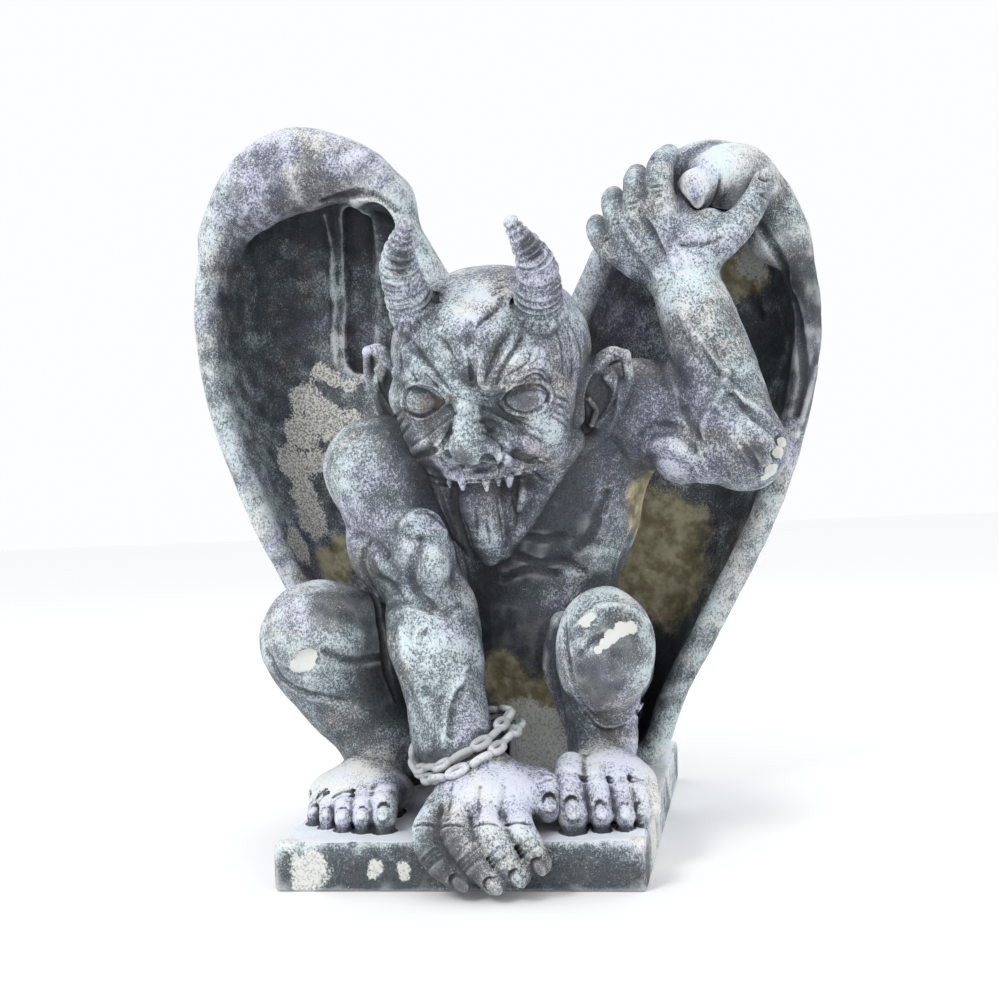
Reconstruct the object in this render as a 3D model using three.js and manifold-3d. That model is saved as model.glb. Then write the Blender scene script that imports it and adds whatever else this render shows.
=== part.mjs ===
// A crouching winged gargoyle and its plinth, carved from one block of marble.
// Millimetres. X is the viewer's right, Y runs back, Z is up; the origin is under the plinth's centre.
import * as THREE from 'three';
import { edgeTable, triTable } from 'three/addons/objects/MarchingCubes.js';
import { mergeVertices } from 'three/addons/utils/BufferGeometryUtils.js';
import Module from 'manifold-3d';

// Driving dimensions. The plinth is a little out of square, as it was cut.
const plinth = {
  corners: [[-201, -280], [202, -253], [206, 265], [-204, 265]], height: 54, wear: 5, sunk: 2,
};
const carving = { step: 5, faces: 9450, far: 60 };
// The boxes that the parts are carved in, and the fillets where they join
const rooms = {
  figure: [[-445, -320, -10], [450, 280, 960]], torso: [[-220, -150, 40], [300, 260, 660]],
  legs: [[-300, -270, 40], [300, 260, 360]], braced: [[-230, -320, 0], [140, 60, 560]],
  raised: [[90, -110, 380], [400, 120, 880]], head: [[-180, -290, 300], [220, 60, 800]],
};
const fillets = { torso: 4, wings: 14, legs: 10, arms: 8, head: 12 };
const stoneColour = 0x7d8590;

// The figure is named shapes, joined in this order with fillets as wide as the blend. One with a line is
// a strand, one with a size is an egg and one with two ends is a limb. Those marked as cut are cut out.
const torsoPlan = {
  pelvis: { centre: [30, 125, 160], size: [125, 95, 92], blend: 8 },
  belly: { centre: [45, 72, 262], size: [98, 92, 112], blend: 40 },
  ribs: { centre: [58, 68, 405], size: [126, 102, 128], blend: 50 },
  shoulders: { from: [-85, -5, 460], to: [172, 30, 500], radii: [66, 64], blend: 50 },
  neck: { from: [38, 30, 505], to: [26, -45, 558], radii: [72, 74], blend: 40 },
  flank: { from: [140, 60, 480], to: [120, 20, 350], radii: [42, 34], swell: 14, blend: 30 },
  rump: { centre: [20, 190, 120], size: [150, 50, 95], blend: 30 },
  seat: { from: [60, 40, 70], to: [50, 60, 150], radii: [60, 50], blend: 20 },
  bladeLeft: { centre: [-24, 120, 430], size: [52, 40, 84], blend: 24 },
  bladeRight: { centre: [100, 120, 430], size: [52, 40, 84], blend: 24 },
  spine: {
    line: [[38, 178, 540], [38, 172, 430], [36, 168, 320], [32, 196, 220]], widths: 9, blend: 14, cut: true,
  },
};

// The two legs: the left one is the viewer's left
const legLeft = {
  thigh: { from: [-35, 125, 190], to: [-177, -66, 244], radii: [84, 66], swell: 4, blend: 8 },
  knee: { centre: [-202, -100, 254], size: [76, 68, 74], blend: 24 },
  shin: { from: [-192, -78, 212], to: [-138, -62, 118], radii: [66, 44], swell: 4, blend: 22 },
  heel: { from: [-138, -62, 118], to: [-130, 5, 80], radii: [44, 32], blend: 24 },
  instep: { from: [-138, -62, 118], to: [-138, -158, 80], radii: [36, 28], blend: 24 },
  ball: { centre: [-138, -158, 80], size: [64, 54, 32], blend: 24 },
};
const toesLeft = [
  { line: [[-98, -176, 84], [-93, -210, 82], [-88, -230, 68]], width: 15.5 },
  { line: [[-124, -180, 84], [-118, -209, 80], [-113, -230, 67]], width: 13 },
  { line: [[-147, -178, 82], [-142, -205, 78], [-137, -226, 66]], width: 12 },
  { line: [[-168, -172, 78], [-164, -196, 74], [-160, -216, 65]], width: 11.5 },
  { line: [[-185, -160, 74], [-183, -181, 71], [-180, -202, 64]], width: 10.5 },
];
const toeFootLeft = { web: { from: [-96, -208, 62], to: [-178, -182, 62], radii: [8, 7], blend: 6 } };
const legRight = {
  thigh: { from: [105, 130, 190], to: [147, -89, 232], radii: [84, 50], swell: 4, blend: 8 },
  knee: { centre: [154, -128, 240], size: [58, 52, 72], blend: 24 },
  shin: { from: [142, -90, 205], to: [136, -55, 118], radii: [47, 37], swell: 4, blend: 22 },
  heel: { from: [136, -55, 118], to: [128, 10, 80], radii: [37, 32], blend: 24 },
  instep: { from: [136, -55, 118], to: [150, -138, 84], radii: [29, 28], blend: 24 },
  ball: { centre: [150, -138, 84], size: [56, 56, 40], blend: 24 },
  shield: { centre: [142, -123, 216], size: [40, 44, 40], blend: 14 },
  hamstring: { line: [[96, -70, 262], [84, -60, 210], [98, -58, 150]], widths: [17, 17, 14], blend: 10 },
  kneeEdge: {
    line: [[113, -165, 226], [122, -163, 199], [133, -137, 170], [145, -118, 152],
      [165, -109, 152], [184, -96, 164],
      [201, -98, 190], [208, -104, 216]],
    widths: [3, 5, 6, 6, 6, 6, 5, 3], blend: 4,
  },
};
const toesRight = [
  { line: [[112, -154, 108], [114, -192, 96], [122, -222, 71]], width: 19 },
  { line: [[140, -154, 108], [144, -188, 96], [152, -216, 70]], width: 15 },
  { line: [[162, -148, 104], [168, -180, 92], [176, -207, 68]], width: 13.5 },
  { line: [[180, -138, 98], [186, -168, 88], [193, -193, 67]], width: 12 },
  { line: [[194, -122, 90], [199, -150, 80], [204, -174, 66]], width: 10.5 },
];
const toeFootRight = { web: { from: [118, -196, 62], to: [196, -158, 62], radii: [9, 8], blend: 6 } };
const toeShape = { taper: [1, 1.08, 0.92], blend: 5 };

// The braced arm, whose hand hangs over the plinth's front edge
const bracedArm = {
  shoulder: { centre: [-130, -48, 464], size: [74, 74, 66], blend: 8 },
  upper: { from: [-119, -56, 438], to: [-58, -98, 292], radii: [60, 47], blend: 30 },
  outerHead: { from: [-150, -62, 400], to: [-112, -84, 318], radii: [26, 26], swell: 12, blend: 14 },
  biceps: { from: [-72, -112, 392], to: [-50, -122, 316], radii: [22, 24], swell: 16, blend: 10 },
  innerHead: { from: [-118, -104, 400], to: [-92, -118, 366], radii: [16, 16], swell: 6, blend: 8 },
  fore: { from: [-54, -104, 275], to: [-28, -150, 148], radii: [55, 42], swell: 3, blend: 16 },
  foreHead: { from: [-84, -112, 278], to: [-62, -140, 210], radii: [26, 22], swell: 8, blend: 14 },
  vein: {
    line: [[-22, -158, 256], [-20, -176, 222], [-40, -188, 186], [-46, -190, 152]],
    widths: 7, blend: 14,
  },
  wrist: { from: [-28, -150, 148], to: [30, -208, 92], radii: [42, 34], blend: 24 },
  hand: { centre: [30, -208, 92], size: [66, 66, 33], blend: 22 },
  thumb: { line: [[64, -186, 98], [90, -204, 98], [96, -228, 79]], widths: [20, 18, 14], blend: 9 },
};
const bracedFingers = [
  { line: [[-24, -236, 84], [-28, -272, 66], [-16, -288, 42], [12, -290, 20]], width: 15.5 },
  { line: [[6, -240, 88], [6, -280, 68], [26, -295, 44], [48, -292, 20]], width: 16 },
  { line: [[36, -240, 88], [42, -280, 70], [58, -293, 50], [74, -290, 28]], width: 15.5 },
  { line: [[64, -232, 84], [74, -272, 70], [86, -284, 56], [96, -284, 38]], width: 14 },
];
const bracedShape = { taper: [1, 1.12, 1, 0.9], blend: 6 };

// Two strands of chain hang aslant round the braced wrist
const chain = {
  upper: {
    line: [[-64, -166, 108], [-46, -185, 114], [-19, -212, 128], [1, -212, 140], [17, -198, 149],
      [36, -166, 158],
      [34, -112, 166], [-20, -100, 154], [-72, -130, 134]],
    widths: 8, blend: 3, closed: true,
  },
  lower: {
    line: [[-70, -168, 94], [-40, -208, 102], [-8, -231, 119], [14, -228, 128], [30, -211, 136],
      [44, -170, 142],
      [42, -108, 150], [-18, -96, 138], [-76, -126, 118]],
    widths: 8, blend: 3, closed: true,
  },
};

// The raised arm, whose hand grips the top of the lower wing
const raisedArm = {
  shoulder: { centre: [190, 18, 518], size: [70, 66, 70], blend: 8 },
  upper: { from: [216, 7, 507], to: [322, -38, 462], radii: [56, 50], blend: 30 },
  biceps: { from: [222, -22, 476], to: [272, -44, 452], radii: [26, 28], swell: 12, blend: 10 },
  fore: { from: [318, -36, 475], to: [258, 0, 672], radii: [46, 43], swell: 5, blend: 16 },
  ridge: {
    line: [[266, -44, 640], [286, -66, 575], [288, -75, 500], [272, -60, 440]],
    widths: 9, blend: 14,
  },
  fork: { line: [[286, -66, 575], [318, -75, 530], [352, -68, 480]], widths: 8, blend: 12 },
  elbow: { from: [318, -70, 480], to: [330, -66, 452], radii: [26, 24], blend: 10 },
  hand: { centre: [222, 8, 735], size: [56, 28, 60], blend: 22 },
  thumbBase: { from: [262, 0, 712], to: [290, 8, 742], radii: [32, 24], blend: 16 },
  thumb: {
    line: [[268, -4, 700], [318, -8, 732], [344, 2, 766], [358, 16, 796]],
    widths: [26, 22, 17.5, 15], blend: 14,
  },
};
const raisedFingers = [
  { line: [[250, -2, 700], [232, -8, 776], [232, 6, 822], [242, 36, 844]], width: 18 },
  { line: [[238, 0, 700], [204, 0, 768], [200, 14, 806], [200, 44, 826]], width: 17 },
  { line: [[228, 4, 696], [180, 10, 752], [170, 24, 786], [168, 54, 804]], width: 16.5 },
  { line: [[222, 8, 690], [164, 20, 728], [148, 34, 754], [144, 60, 772]], width: 15.5 },
];
const raisedShape = { taper: [1, 1.1, 1, 0.85], blend: 8 };

// The head: where it sits, and how it turns, nods and leans in degrees. Its shapes are placed from the
// middle of the skull, and those of one side are given for the viewer's right and mirrored.
const headPose = { centre: [23, -80, 576], turn: -5, nod: 28, lean: 5.5 };
const skull = {
  cranium: { centre: [0, 10, 22], size: [122, 120, 98], blend: 8 },
  face: { centre: [0, -36, -44], size: [100, 70, 80], blend: 40 },
  cheekLeft: { from: [-66, -58, -20], to: [-70, -48, -80], radii: [34, 30], blend: 24 },
  cheekRight: { from: [66, -58, -20], to: [70, -48, -80], radii: [34, 30], blend: 24 },
  upperLip: { centre: [0, -72, -72], size: [62, 50, 34], blend: 24 },
  jawLineLeft: {
    line: [[-80, -30, -90], [-60, -62, -136], [-46, -72, -178], [-20, -79, -210]],
    widths: [24, 15, 12, 12], blend: 14,
  },
  jawLineRight: {
    line: [[92, -22, -84], [70, -46, -128], [48, -64, -170], [18, -77, -207]],
    widths: [24, 15, 12, 12], blend: 14,
  },
  jawLeft: { from: [-62, -20, -90], to: [-32, -30, -165], radii: [30, 24], blend: 20 },
  jawRight: { from: [64, -18, -90], to: [34, -30, -160], radii: [32, 24], blend: 20 },
  chin: { from: [-18, -79, -211], to: [16, -79, -210], radii: [12, 12], blend: 6 },
  throat: { centre: [0, -44, -168], size: [50, 36, 50], blend: 16 },
  gape: { centre: [2, -96, -122], size: [42, 38, 24], blend: 8, cut: true },
  mouth: { centre: [0, -102, -166], size: [38, 26, 48], blend: 8, cut: true },
};
const brow = {
  temple: { centre: [84, -56, -14], size: [26, 26, 26], blend: 16 },
  socket: { centre: [60, -113, -2], size: [32, 20, 20], blend: 8, cut: true },
  eyeball: { centre: [60, -91, -2], size: [27, 17, 19], blend: 3 },
  ridge: {
    line: [[16, -112, 28], [30, -114, 36], [58, -104, 52], [84, -88, 52], [97, -68, 22]],
    widths: [13, 14, 14, 13, 9],
    blend: 12,
  },
  lid: { line: [[28, -102, -12], [58, -102, -25], [88, -78, -13]], widths: 6, blend: 8 },
  frown: {
    line: [[5, -134, 24], [8, -122, 56], [16, -112, 90], [42, -88, 118]],
    widths: [4, 5, 4, 2], blend: 6, cut: true,
  },
  furrow: {
    line: [[33, -136, 30], [46, -124, 60], [64, -110, 78]],
    widths: [3, 5, 2], blend: 6, cut: true,
  },
};
const nose = {
  bridge: { line: [[2, -112, 12], [3, -124, -16], [4, -132, -40]], widths: [13, 18, 24], blend: 12 },
};
const muzzle = {
  nostrilWing: { centre: [28, -118, -50], size: [20, 18, 17], blend: 8 },
  nostril: { centre: [21, -138, -60], size: [9, 11, 8], blend: 3, cut: true },
  sneer: {
    line: [[17, -114, -2], [46, -104, -26], [72, -88, -50], [82, -68, -82]],
    widths: [9, 12, 14, 10], blend: 8,
  },
  fold: {
    line: [[24, -118, -30], [48, -108, -54], [68, -92, -78], [74, -74, -102]],
    widths: [9, 12, 12, 9], blend: 6,
  },
  lip: {
    line: [[0, -108, -84], [30, -104, -86], [52, -90, -92], [62, -72, -112]],
    widths: [11, 11, 10, 8], blend: 6,
  },
  frontTooth: { from: [14, -108, -92], to: [14, -108, -106], radii: [8, 4], blend: 2 },
  sideTooth: { from: [38, -100, -92], to: [38, -99, -108], radii: [8, 4], blend: 2 },
};
const tongue = {
  cornerFlesh: { from: [54, -84, -98], to: [43, -82, -148], radii: [10, 8], blend: 6 },
  blade: {
    line: [[4, -56, -124], [4, -76, -158], [4, -84, -190], [2, -84, -208]],
    widths: [20, 25, 24, 18], blend: 4,
  },
};
const earAndHorn = {
  shell: { centre: [132, 14, -34], size: [34, 18, 64], blend: 12 },
  topEdge: {
    line: [[108, -6, -26], [116, -6, 0], [134, 4, 20], [158, 14, 26]],
    widths: [11, 9, 8, 8], blend: 6,
  },
  outerEdge: {
    line: [[158, 14, 26], [161, 18, -14], [149, 18, -58], [124, 8, -90], [106, -2, -94]],
    widths: [8, 8, 9, 11, 13],
    blend: 6,
  },
  hollow: { centre: [134, -8, -28], size: [20, 20, 42], blend: 7, cut: true },
  innerFold: { line: [[134, 4, 14], [146, 10, -16], [138, 9, -56], [122, 4, -74]], widths: 4.5, blend: 4 },
  horn: { line: [[74, -42, 88], [79, -60, 148], [60, -79, 200]], widths: [31, 24, 10], blend: 6 },
};

// The wings: points round each edge in the front view, how far back the cup goes, and what is carved on its
// floor, also placed in the front view
const wingLeft = {
  edge: [[-60, 728], [-134, 852], [-190, 905], [-252, 933], [-318, 921], [-369, 874], [-419, 727],
    [-412, 573], [-358, 403], [-300, 285], [-235, 170], [-185, 50], [-40, 46], [20, 200], [34, 420], [0, 640]],
  rimFoot: 80, rimTop: 40, cup: 165, shoulder: 95, wall: 36,
  carvings: {
    lobe: {
      line: [[-360, 60, 790], [-322, 56, 858], [-252, 54, 884], [-180, 54, 866], [-138, 56, 826]],
      widths: 38, blend: 30,
    },
  },
  ridges: [{ line: [[-262, 862], [-267, 800], [-266, 736], [-265, 636]], width: 8, blend: 8 }],
  grooves: [
    { line: [[-247, 866], [-250, 790], [-250, 710], [-249, 632]], width: 8, blend: 10 },
    { line: [[-337, 856], [-336, 800], [-335, 732]], width: 5, blend: 8 },
  ],
};
const wingRight = {
  edge: [[99, 681], [141, 757], [200, 820], [241, 858], [300, 871], [380, 808], [425, 680], [416, 553],
    [369, 400], [292, 251], [232, 145], [184, 50], [60, 46], [10, 200], [12, 400], [52, 590]],
  rimFoot: 118, rimTop: 90, cup: 118, shoulder: 85, wall: 36,
  carvings: {
    lobe: { line: [[372, 104, 742], [348, 100, 800], [290, 98, 826], [235, 98, 806]], widths: 35, blend: 30 },
    lobeFront: { centre: [316, 58, 818], size: [56, 44, 40], blend: 20 },
    lobeFold: { from: [300, 40, 806], to: [352, 62, 800], radii: [26, 24], blend: 20 },
    claw: { centre: [275, 22, 794], size: [25, 30, 27], blend: 5 },
    clawTip: { from: [275, 22, 794], to: [277, -4, 766], radii: [18, 5], blend: 8 },
  },
  ridges: [],
  grooves: [],
};

// Small vector and frame helpers
const wasm = await Module();
wasm.setup();
const mix = (a, b, t) => a + (b - a) * t;
const clamp = (v, low, high) => Math.min(high, Math.max(low, v));
const between = (a, b, t) => a.map((v, i) => mix(v, b[i], t));

class Frame {
  constructor({ centre, turn, nod, lean }) {
    const degrees = THREE.MathUtils.degToRad;
    const euler = new THREE.Euler(degrees(nod), degrees(lean), degrees(turn), 'ZXY');
    this.origin = new THREE.Vector3(...centre);
    this.matrix = new THREE.Matrix3().setFromMatrix4(new THREE.Matrix4().makeRotationFromEuler(euler));
  }

  at(x, y, z) {
    return new THREE.Vector3(x, y, z).applyMatrix3(this.matrix).add(this.origin).toArray();
  }
}
const upright = new Frame({ centre: [0, 0, 0], turn: 0, nod: 0, lean: 0 });

// Shapes are distance functions with a box that holds them
function limb(from, fromRadius, to, toRadius, swell = 0) {
  const along = to.map((v, i) => v - from[i]);
  const length2 = along.reduce((sum, v) => sum + v * v, 0) || 1;
  const reach = Math.max(fromRadius, toRadius) + Math.max(0, swell);
  return {
    low: from.map((v, i) => Math.min(v, to[i]) - reach),
    high: from.map((v, i) => Math.max(v, to[i]) + reach),
    distance(x, y, z) {
      let dx = x - from[0];
      let dy = y - from[1];
      let dz = z - from[2];
      const t = clamp((dx * along[0] + dy * along[1] + dz * along[2]) / length2, 0, 1);
      dx -= t * along[0];
      dy -= t * along[1];
      dz -= t * along[2];
      return Math.sqrt(dx * dx + dy * dy + dz * dz) - mix(fromRadius, toRadius, t) - swell * 4 * t * (1 - t);
    },
  };
}

function egg(centre, radii, frame) {
  const reach = Math.max(...radii);
  const m = frame.matrix.elements;
  return {
    low: centre.map((v) => v - reach),
    high: centre.map((v) => v + reach),
    distance(x, y, z) {
      const dx = x - centre[0];
      const dy = y - centre[1];
      const dz = z - centre[2];
      const a = (m[0] * dx + m[1] * dy + m[2] * dz) / radii[0];
      const b = (m[3] * dx + m[4] * dy + m[5] * dz) / radii[1];
      const c = (m[6] * dx + m[7] * dy + m[8] * dz) / radii[2];
      const k0 = Math.sqrt(a * a + b * b + c * c);
      const k1 = Math.sqrt((a / radii[0]) ** 2 + (b / radii[1]) ** 2 + (c / radii[2]) ** 2);
      return k1 > 0 ? k0 * (k0 - 1) / k1 : -Math.min(...radii);
    },
  };
}

// A strand runs along a smooth curve through a few points, and its radius changes evenly from point to point
function strand(points, radii, closed = false, pieces = 4) {
  const curve = new THREE.CatmullRomCurve3(points.map((p) => new THREE.Vector3(...p)), closed, 'centripetal');
  const spans = closed ? points.length : points.length - 1;
  const count = spans * pieces;
  const places = Array.from({ length: count + 1 }, (_, i) => curve.getPoint(i / count).toArray());
  const widths = places.map((_, i) => {
    const span = Math.min(Math.floor(i / pieces), spans - 1);
    const radius = (k) => (Array.isArray(radii) ? radii[k % radii.length] : radii);
    return mix(radius(span), radius(span + 1), i / pieces - span);
  });
  return places.slice(1).map((p, i) => limb(places[i], widths[i], p, widths[i + 1]));
}

// Clay is a box of the carving grid that holds distances to the surface, negative in the stone
class Clay {
  constructor(low, high) {
    this.low = low.map((v) => Math.floor(v / carving.step));
    this.size = high.map((v, i) => Math.ceil(v / carving.step) - this.low[i] + 1);
    this.values = new Float32Array(this.size[0] * this.size[1] * this.size[2]).fill(carving.far);
  }

  // Calls work(index, x, y, z) for each grid point in a box grown by the reach
  visit(low, high, reach, work) {
    const { step } = carving;
    const first = low.map((v, i) => Math.max(0, Math.floor((v - reach) / step) - this.low[i]));
    const last = high.map((v, i) => Math.min(this.size[i] - 1, Math.ceil((v + reach) / step) - this.low[i]));
    for (let k = first[2]; k <= last[2]; k++) {
      for (let j = first[1]; j <= last[1]; j++) {
        let index = (k * this.size[1] + j) * this.size[0] + first[0];
        for (let i = first[0]; i <= last[0]; i++, index++) {
          work(index, (this.low[0] + i) * step, (this.low[1] + j) * step, (this.low[2] + k) * step);
        }
      }
    }
  }

  // Distance to the nearest of several shapes, each worked out only in its own box
  nearest(shapes, reach) {
    const low = [0, 1, 2].map((i) => Math.min(...shapes.map((s) => s.low[i])));
    const high = [0, 1, 2].map((i) => Math.max(...shapes.map((s) => s.high[i])));
    const field = new Map();
    for (const shape of shapes) {
      this.visit(shape.low, shape.high, reach, (index, x, y, z) => {
        const value = shape.distance(x, y, z);
        const old = field.get(index);
        if (old === undefined || value < old) field.set(index, value);
      });
    }
    return { low, high, field };
  }

  // Joins shapes to the clay, with a fillet as wide as the blend
  add(shape, blend) {
    const soften = (index, value) => {
      const old = this.values[index];
      const h = Math.max(blend - Math.abs(old - value), 0) / blend;
      this.values[index] = Math.min(old, value) - h * h * blend / 4;
    };
    this.apply(shape, blend, soften);
    return this;
  }

  // Cuts shapes out of the clay, with an edge rounded by the blend
  carve(shape, blend) {
    const soften = (index, value) => {
      const old = this.values[index];
      const h = Math.max(blend - Math.abs(old + value), 0) / blend;
      this.values[index] = Math.max(old, -value) + h * h * blend / 4;
    };
    this.apply(shape, blend, soften);
    return this;
  }

  apply(shape, blend, soften) {
    const reach = blend + 3 * carving.step;
    if (Array.isArray(shape)) {
      this.nearest(shape, reach).field.forEach((value, index) => soften(index, value));
      return;
    }
    this.visit(shape.low, shape.high, reach, (index, x, y, z) => soften(index, shape.distance(x, y, z)));
  }

  // Joins another block of clay to this one
  join(other, blend) {
    const { step } = carving;
    const low = other.low.map((v) => v * step);
    const high = other.low.map((v, i) => (v + other.size[i] - 1) * step);
    this.visit(low, high, 0, (index, x, y, z) => {
      const i = Math.round(x / step) - other.low[0];
      const j = Math.round(y / step) - other.low[1];
      const k = Math.round(z / step) - other.low[2];
      const value = other.values[(k * other.size[1] + j) * other.size[0] + i];
      const old = this.values[index];
      const h = Math.max(blend - Math.abs(old - value), 0) / blend;
      this.values[index] = Math.min(old, value) - h * h * blend / 4;
    });
    return this;
  }
}

// The shape that a plan describes, mirrored to one side and turned with the frame
function shapeOf(plan, frame, side) {
  const place = ([x, y, z]) => frame.at(x * side, y, z);
  if (plan.line) return strand(plan.line.map(place), plan.widths, plan.closed);
  if (plan.size) return egg(place(plan.centre), plan.size, frame);
  return limb(place(plan.from), plan.radii[0], place(plan.to), plan.radii[1], plan.swell);
}

// Adds or cuts each named shape in turn
function build(clay, plans, frame = upright, side = 1) {
  for (const plan of Object.values(plans)) {
    const shape = shapeOf(plan, frame, side);
    if (plan.cut) clay.carve(shape, plan.blend);
    else clay.add(shape, plan.blend);
  }
  return clay;
}

// Fingers or toes, which taper along their joints
function digits(clay, plans, { taper, blend }) {
  for (const { line, width } of plans) {
    clay.add(strand(line, taper.map((share) => share * width)), blend);
  }
  return clay;
}

// A bent leg and its foot
function leg(plans, toes, toeFoot) {
  const clay = build(new Clay(...rooms.legs), plans);
  return build(digits(clay, toes, toeShape), toeFoot);
}

// The horned head with its open mouth
function head() {
  const frame = new Frame(headPose);
  const clay = build(new Clay(...rooms.head), skull, frame);
  for (const side of [-1, 1]) build(clay, brow, frame, side);
  build(clay, nose, frame);
  for (const side of [-1, 1]) build(clay, muzzle, frame, side);
  build(clay, tongue, frame);
  for (const side of [-1, 1]) build(clay, earAndHorn, frame, side);
  return clay;
}

// Signed distance in the front view to a closed outline
function outlineDistance(points) {
  const places = points.map(([x, z]) => new THREE.Vector3(x, 0, z));
  const curve = new THREE.CatmullRomCurve3(places, true, 'centripetal');
  const rim = curve.getPoints(points.length * 6).slice(0, -1);
  return (x, z) => {
    let nearest = Infinity;
    let inside = false;
    rim.forEach((a, n) => {
      const b = rim[(n + 1) % rim.length];
      const ex = b.x - a.x;
      const ez = b.z - a.z;
      const t = clamp(((x - a.x) * ex + (z - a.z) * ez) / (ex * ex + ez * ez), 0, 1);
      nearest = Math.min(nearest, Math.hypot(x - a.x - t * ex, z - a.z - t * ez));
      if ((a.z > z) !== (b.z > z) && x < a.x + (z - a.z) / ez * ex) inside = !inside;
    });
    return inside ? -nearest : nearest;
  };
}

// A wing: a cupped leaf with a rolled rim, open to the front
function wing(plan) {
  const xs = plan.edge.map((p) => p[0]);
  const zs = plan.edge.map((p) => p[1]);
  const top = Math.max(...zs);
  const margin = 20;
  const low = [Math.min(...xs) - margin, 0, 30];
  const high = [Math.max(...xs) + margin, 265, top + margin];
  const clay = new Clay(low, high);
  const edgeDistance = outlineDistance(plan.edge);
  const half = plan.wall / 2;
  const wide = plan.shoulder;
  const deep = plan.cup;
  const rimPlace = (z) => mix(plan.rimFoot, plan.rimTop, z / top);
  const inwardFrom = (x, z) => -edgeDistance(x, z) - half;
  const columns = new Map();
  clay.visit(low, high, 0, (index, x, y, z) => {
    const key = `${x},${z}`;
    if (!columns.has(key)) columns.set(key, inwardFrom(x, z));
    const inward = columns.get(key);
    const back = y - rimPlace(z);
    const a = Math.min((inward - wide) / wide, 0);
    const b = back / deep;
    const k0 = Math.hypot(a, b);
    const k1 = Math.hypot(a / wide, b / deep);
    const cup = k1 > 0 ? Math.abs(k0 * (k0 - 1) / k1) - half : half;
    const shell = Math.max(cup, -back);
    const rim = Math.hypot(inward, back) - half;
    clay.values[index] = Math.min(shell, rim);
  });
  const floor = ([x, z]) => {
    const a = clamp((inwardFrom(x, z) - wide) / wide, -1, 0);
    return [x, rimPlace(z) + deep * Math.sqrt(1 - a * a) - half, z];
  };
  for (const { line, width, blend } of plan.ridges) clay.add(strand(line.map(floor), width), blend);
  for (const { line, width, blend } of plan.grooves) clay.carve(strand(line.map(floor), width), blend);
  return build(clay, plan.carvings);
}

// How far a place is from the plinth's block, which is sunk a little inside the finished one
function plinthDistance(x, y, z) {
  const { corners, height, sunk } = plinth;
  const sides = corners.map(([cx, cy], i) => {
    const [nx, ny] = corners[(i + 1) % corners.length];
    return ((x - cx) * (ny - cy) - (y - cy) * (nx - cx)) / Math.hypot(nx - cx, ny - cy);
  });
  return Math.max(...sides, Math.abs(z - height / 2) - height / 2) + sunk;
}

// The figure in the rough, before it is cut down to its faces
function carveFigure() {
  const stone = new Clay(...rooms.figure);
  const xs = plinth.corners.map((p) => p[0]);
  const ys = plinth.corners.map((p) => p[1]);
  const low = [Math.min(...xs), Math.min(...ys), 0];
  const high = [Math.max(...xs), Math.max(...ys), plinth.height];
  stone.visit(low, high, 4 * carving.step, (index, x, y, z) => {
    stone.values[index] = plinthDistance(x, y, z);
  });
  stone.join(build(new Clay(...rooms.torso), torsoPlan), fillets.torso);
  stone.join(wing(wingLeft), fillets.wings);
  stone.join(wing(wingRight), fillets.wings);
  stone.join(leg(legLeft, toesLeft, toeFootLeft), fillets.legs);
  stone.join(leg(legRight, toesRight, toeFootRight), fillets.legs);
  const braced = build(new Clay(...rooms.braced), bracedArm);
  stone.join(build(digits(braced, bracedFingers, bracedShape), chain), fillets.arms);
  const raised = build(new Clay(...rooms.raised), raisedArm);
  stone.join(digits(raised, raisedFingers, raisedShape), fillets.arms);
  stone.join(head(), fillets.head);
  return stone;
}

// Corner offsets in the order of the tables, and the grid edge that each of their twelve edges is
const corners = [[0, 0, 0], [1, 0, 0], [1, 1, 0], [0, 1, 0], [0, 0, 1], [1, 0, 1], [1, 1, 1], [0, 1, 1]];
const edges = [[0, 0], [1, 1], [3, 0], [0, 1], [4, 0], [5, 1], [7, 0], [4, 1], [0, 2], [1, 2], [2, 2],
  [3, 2]];

// A corner never lies exactly on the surface, and a crossing keeps a little away from both of its ends
const nearZero = 1e-4;
const keepOff = 0.02;

// Turns the distances into a closed surface of triangles
function surface(clay) {
  const [nx, ny, nz] = clay.size;
  const strides = [1, nx, nx * ny];
  const offset = corners.map(([i, j, k]) => i + j * nx + k * nx * ny);
  const value = (index) => clay.values[index] || nearZero;
  const known = new Map();
  const points = [];
  const faces = [];
  const crossing = (index, axis) => {
    const key = index * 3 + axis;
    if (known.has(key)) return known.get(key);
    const a = value(index);
    const b = value(index + strides[axis]);
    const place = [index % nx, Math.floor(index / nx) % ny, Math.floor(index / (nx * ny))];
    place[axis] += clamp(a / (a - b), keepOff, 1 - keepOff);
    known.set(key, points.length);
    points.push(place.map((v, i) => (v + clay.low[i]) * carving.step));
    return points.length - 1;
  };
  for (let k = 0; k < nz - 1; k++) {
    for (let j = 0; j < ny - 1; j++) {
      for (let i = 0; i < nx - 1; i++) {
        const index = i + j * nx + k * nx * ny;
        let bits = 0;
        for (let c = 0; c < 8; c++) if (value(index + offset[c]) > 0) bits |= 1 << c;
        if (!edgeTable[bits]) continue;
        for (let n = bits * 16; triTable[n] >= 0; n += 3) {
          faces.push([0, 1, 2].map((m) => {
            const [corner, axis] = edges[triTable[n + m]];
            return crossing(index + offset[corner], axis);
          }));
        }
      }
    }
  }
  return { points, faces };
}

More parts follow.
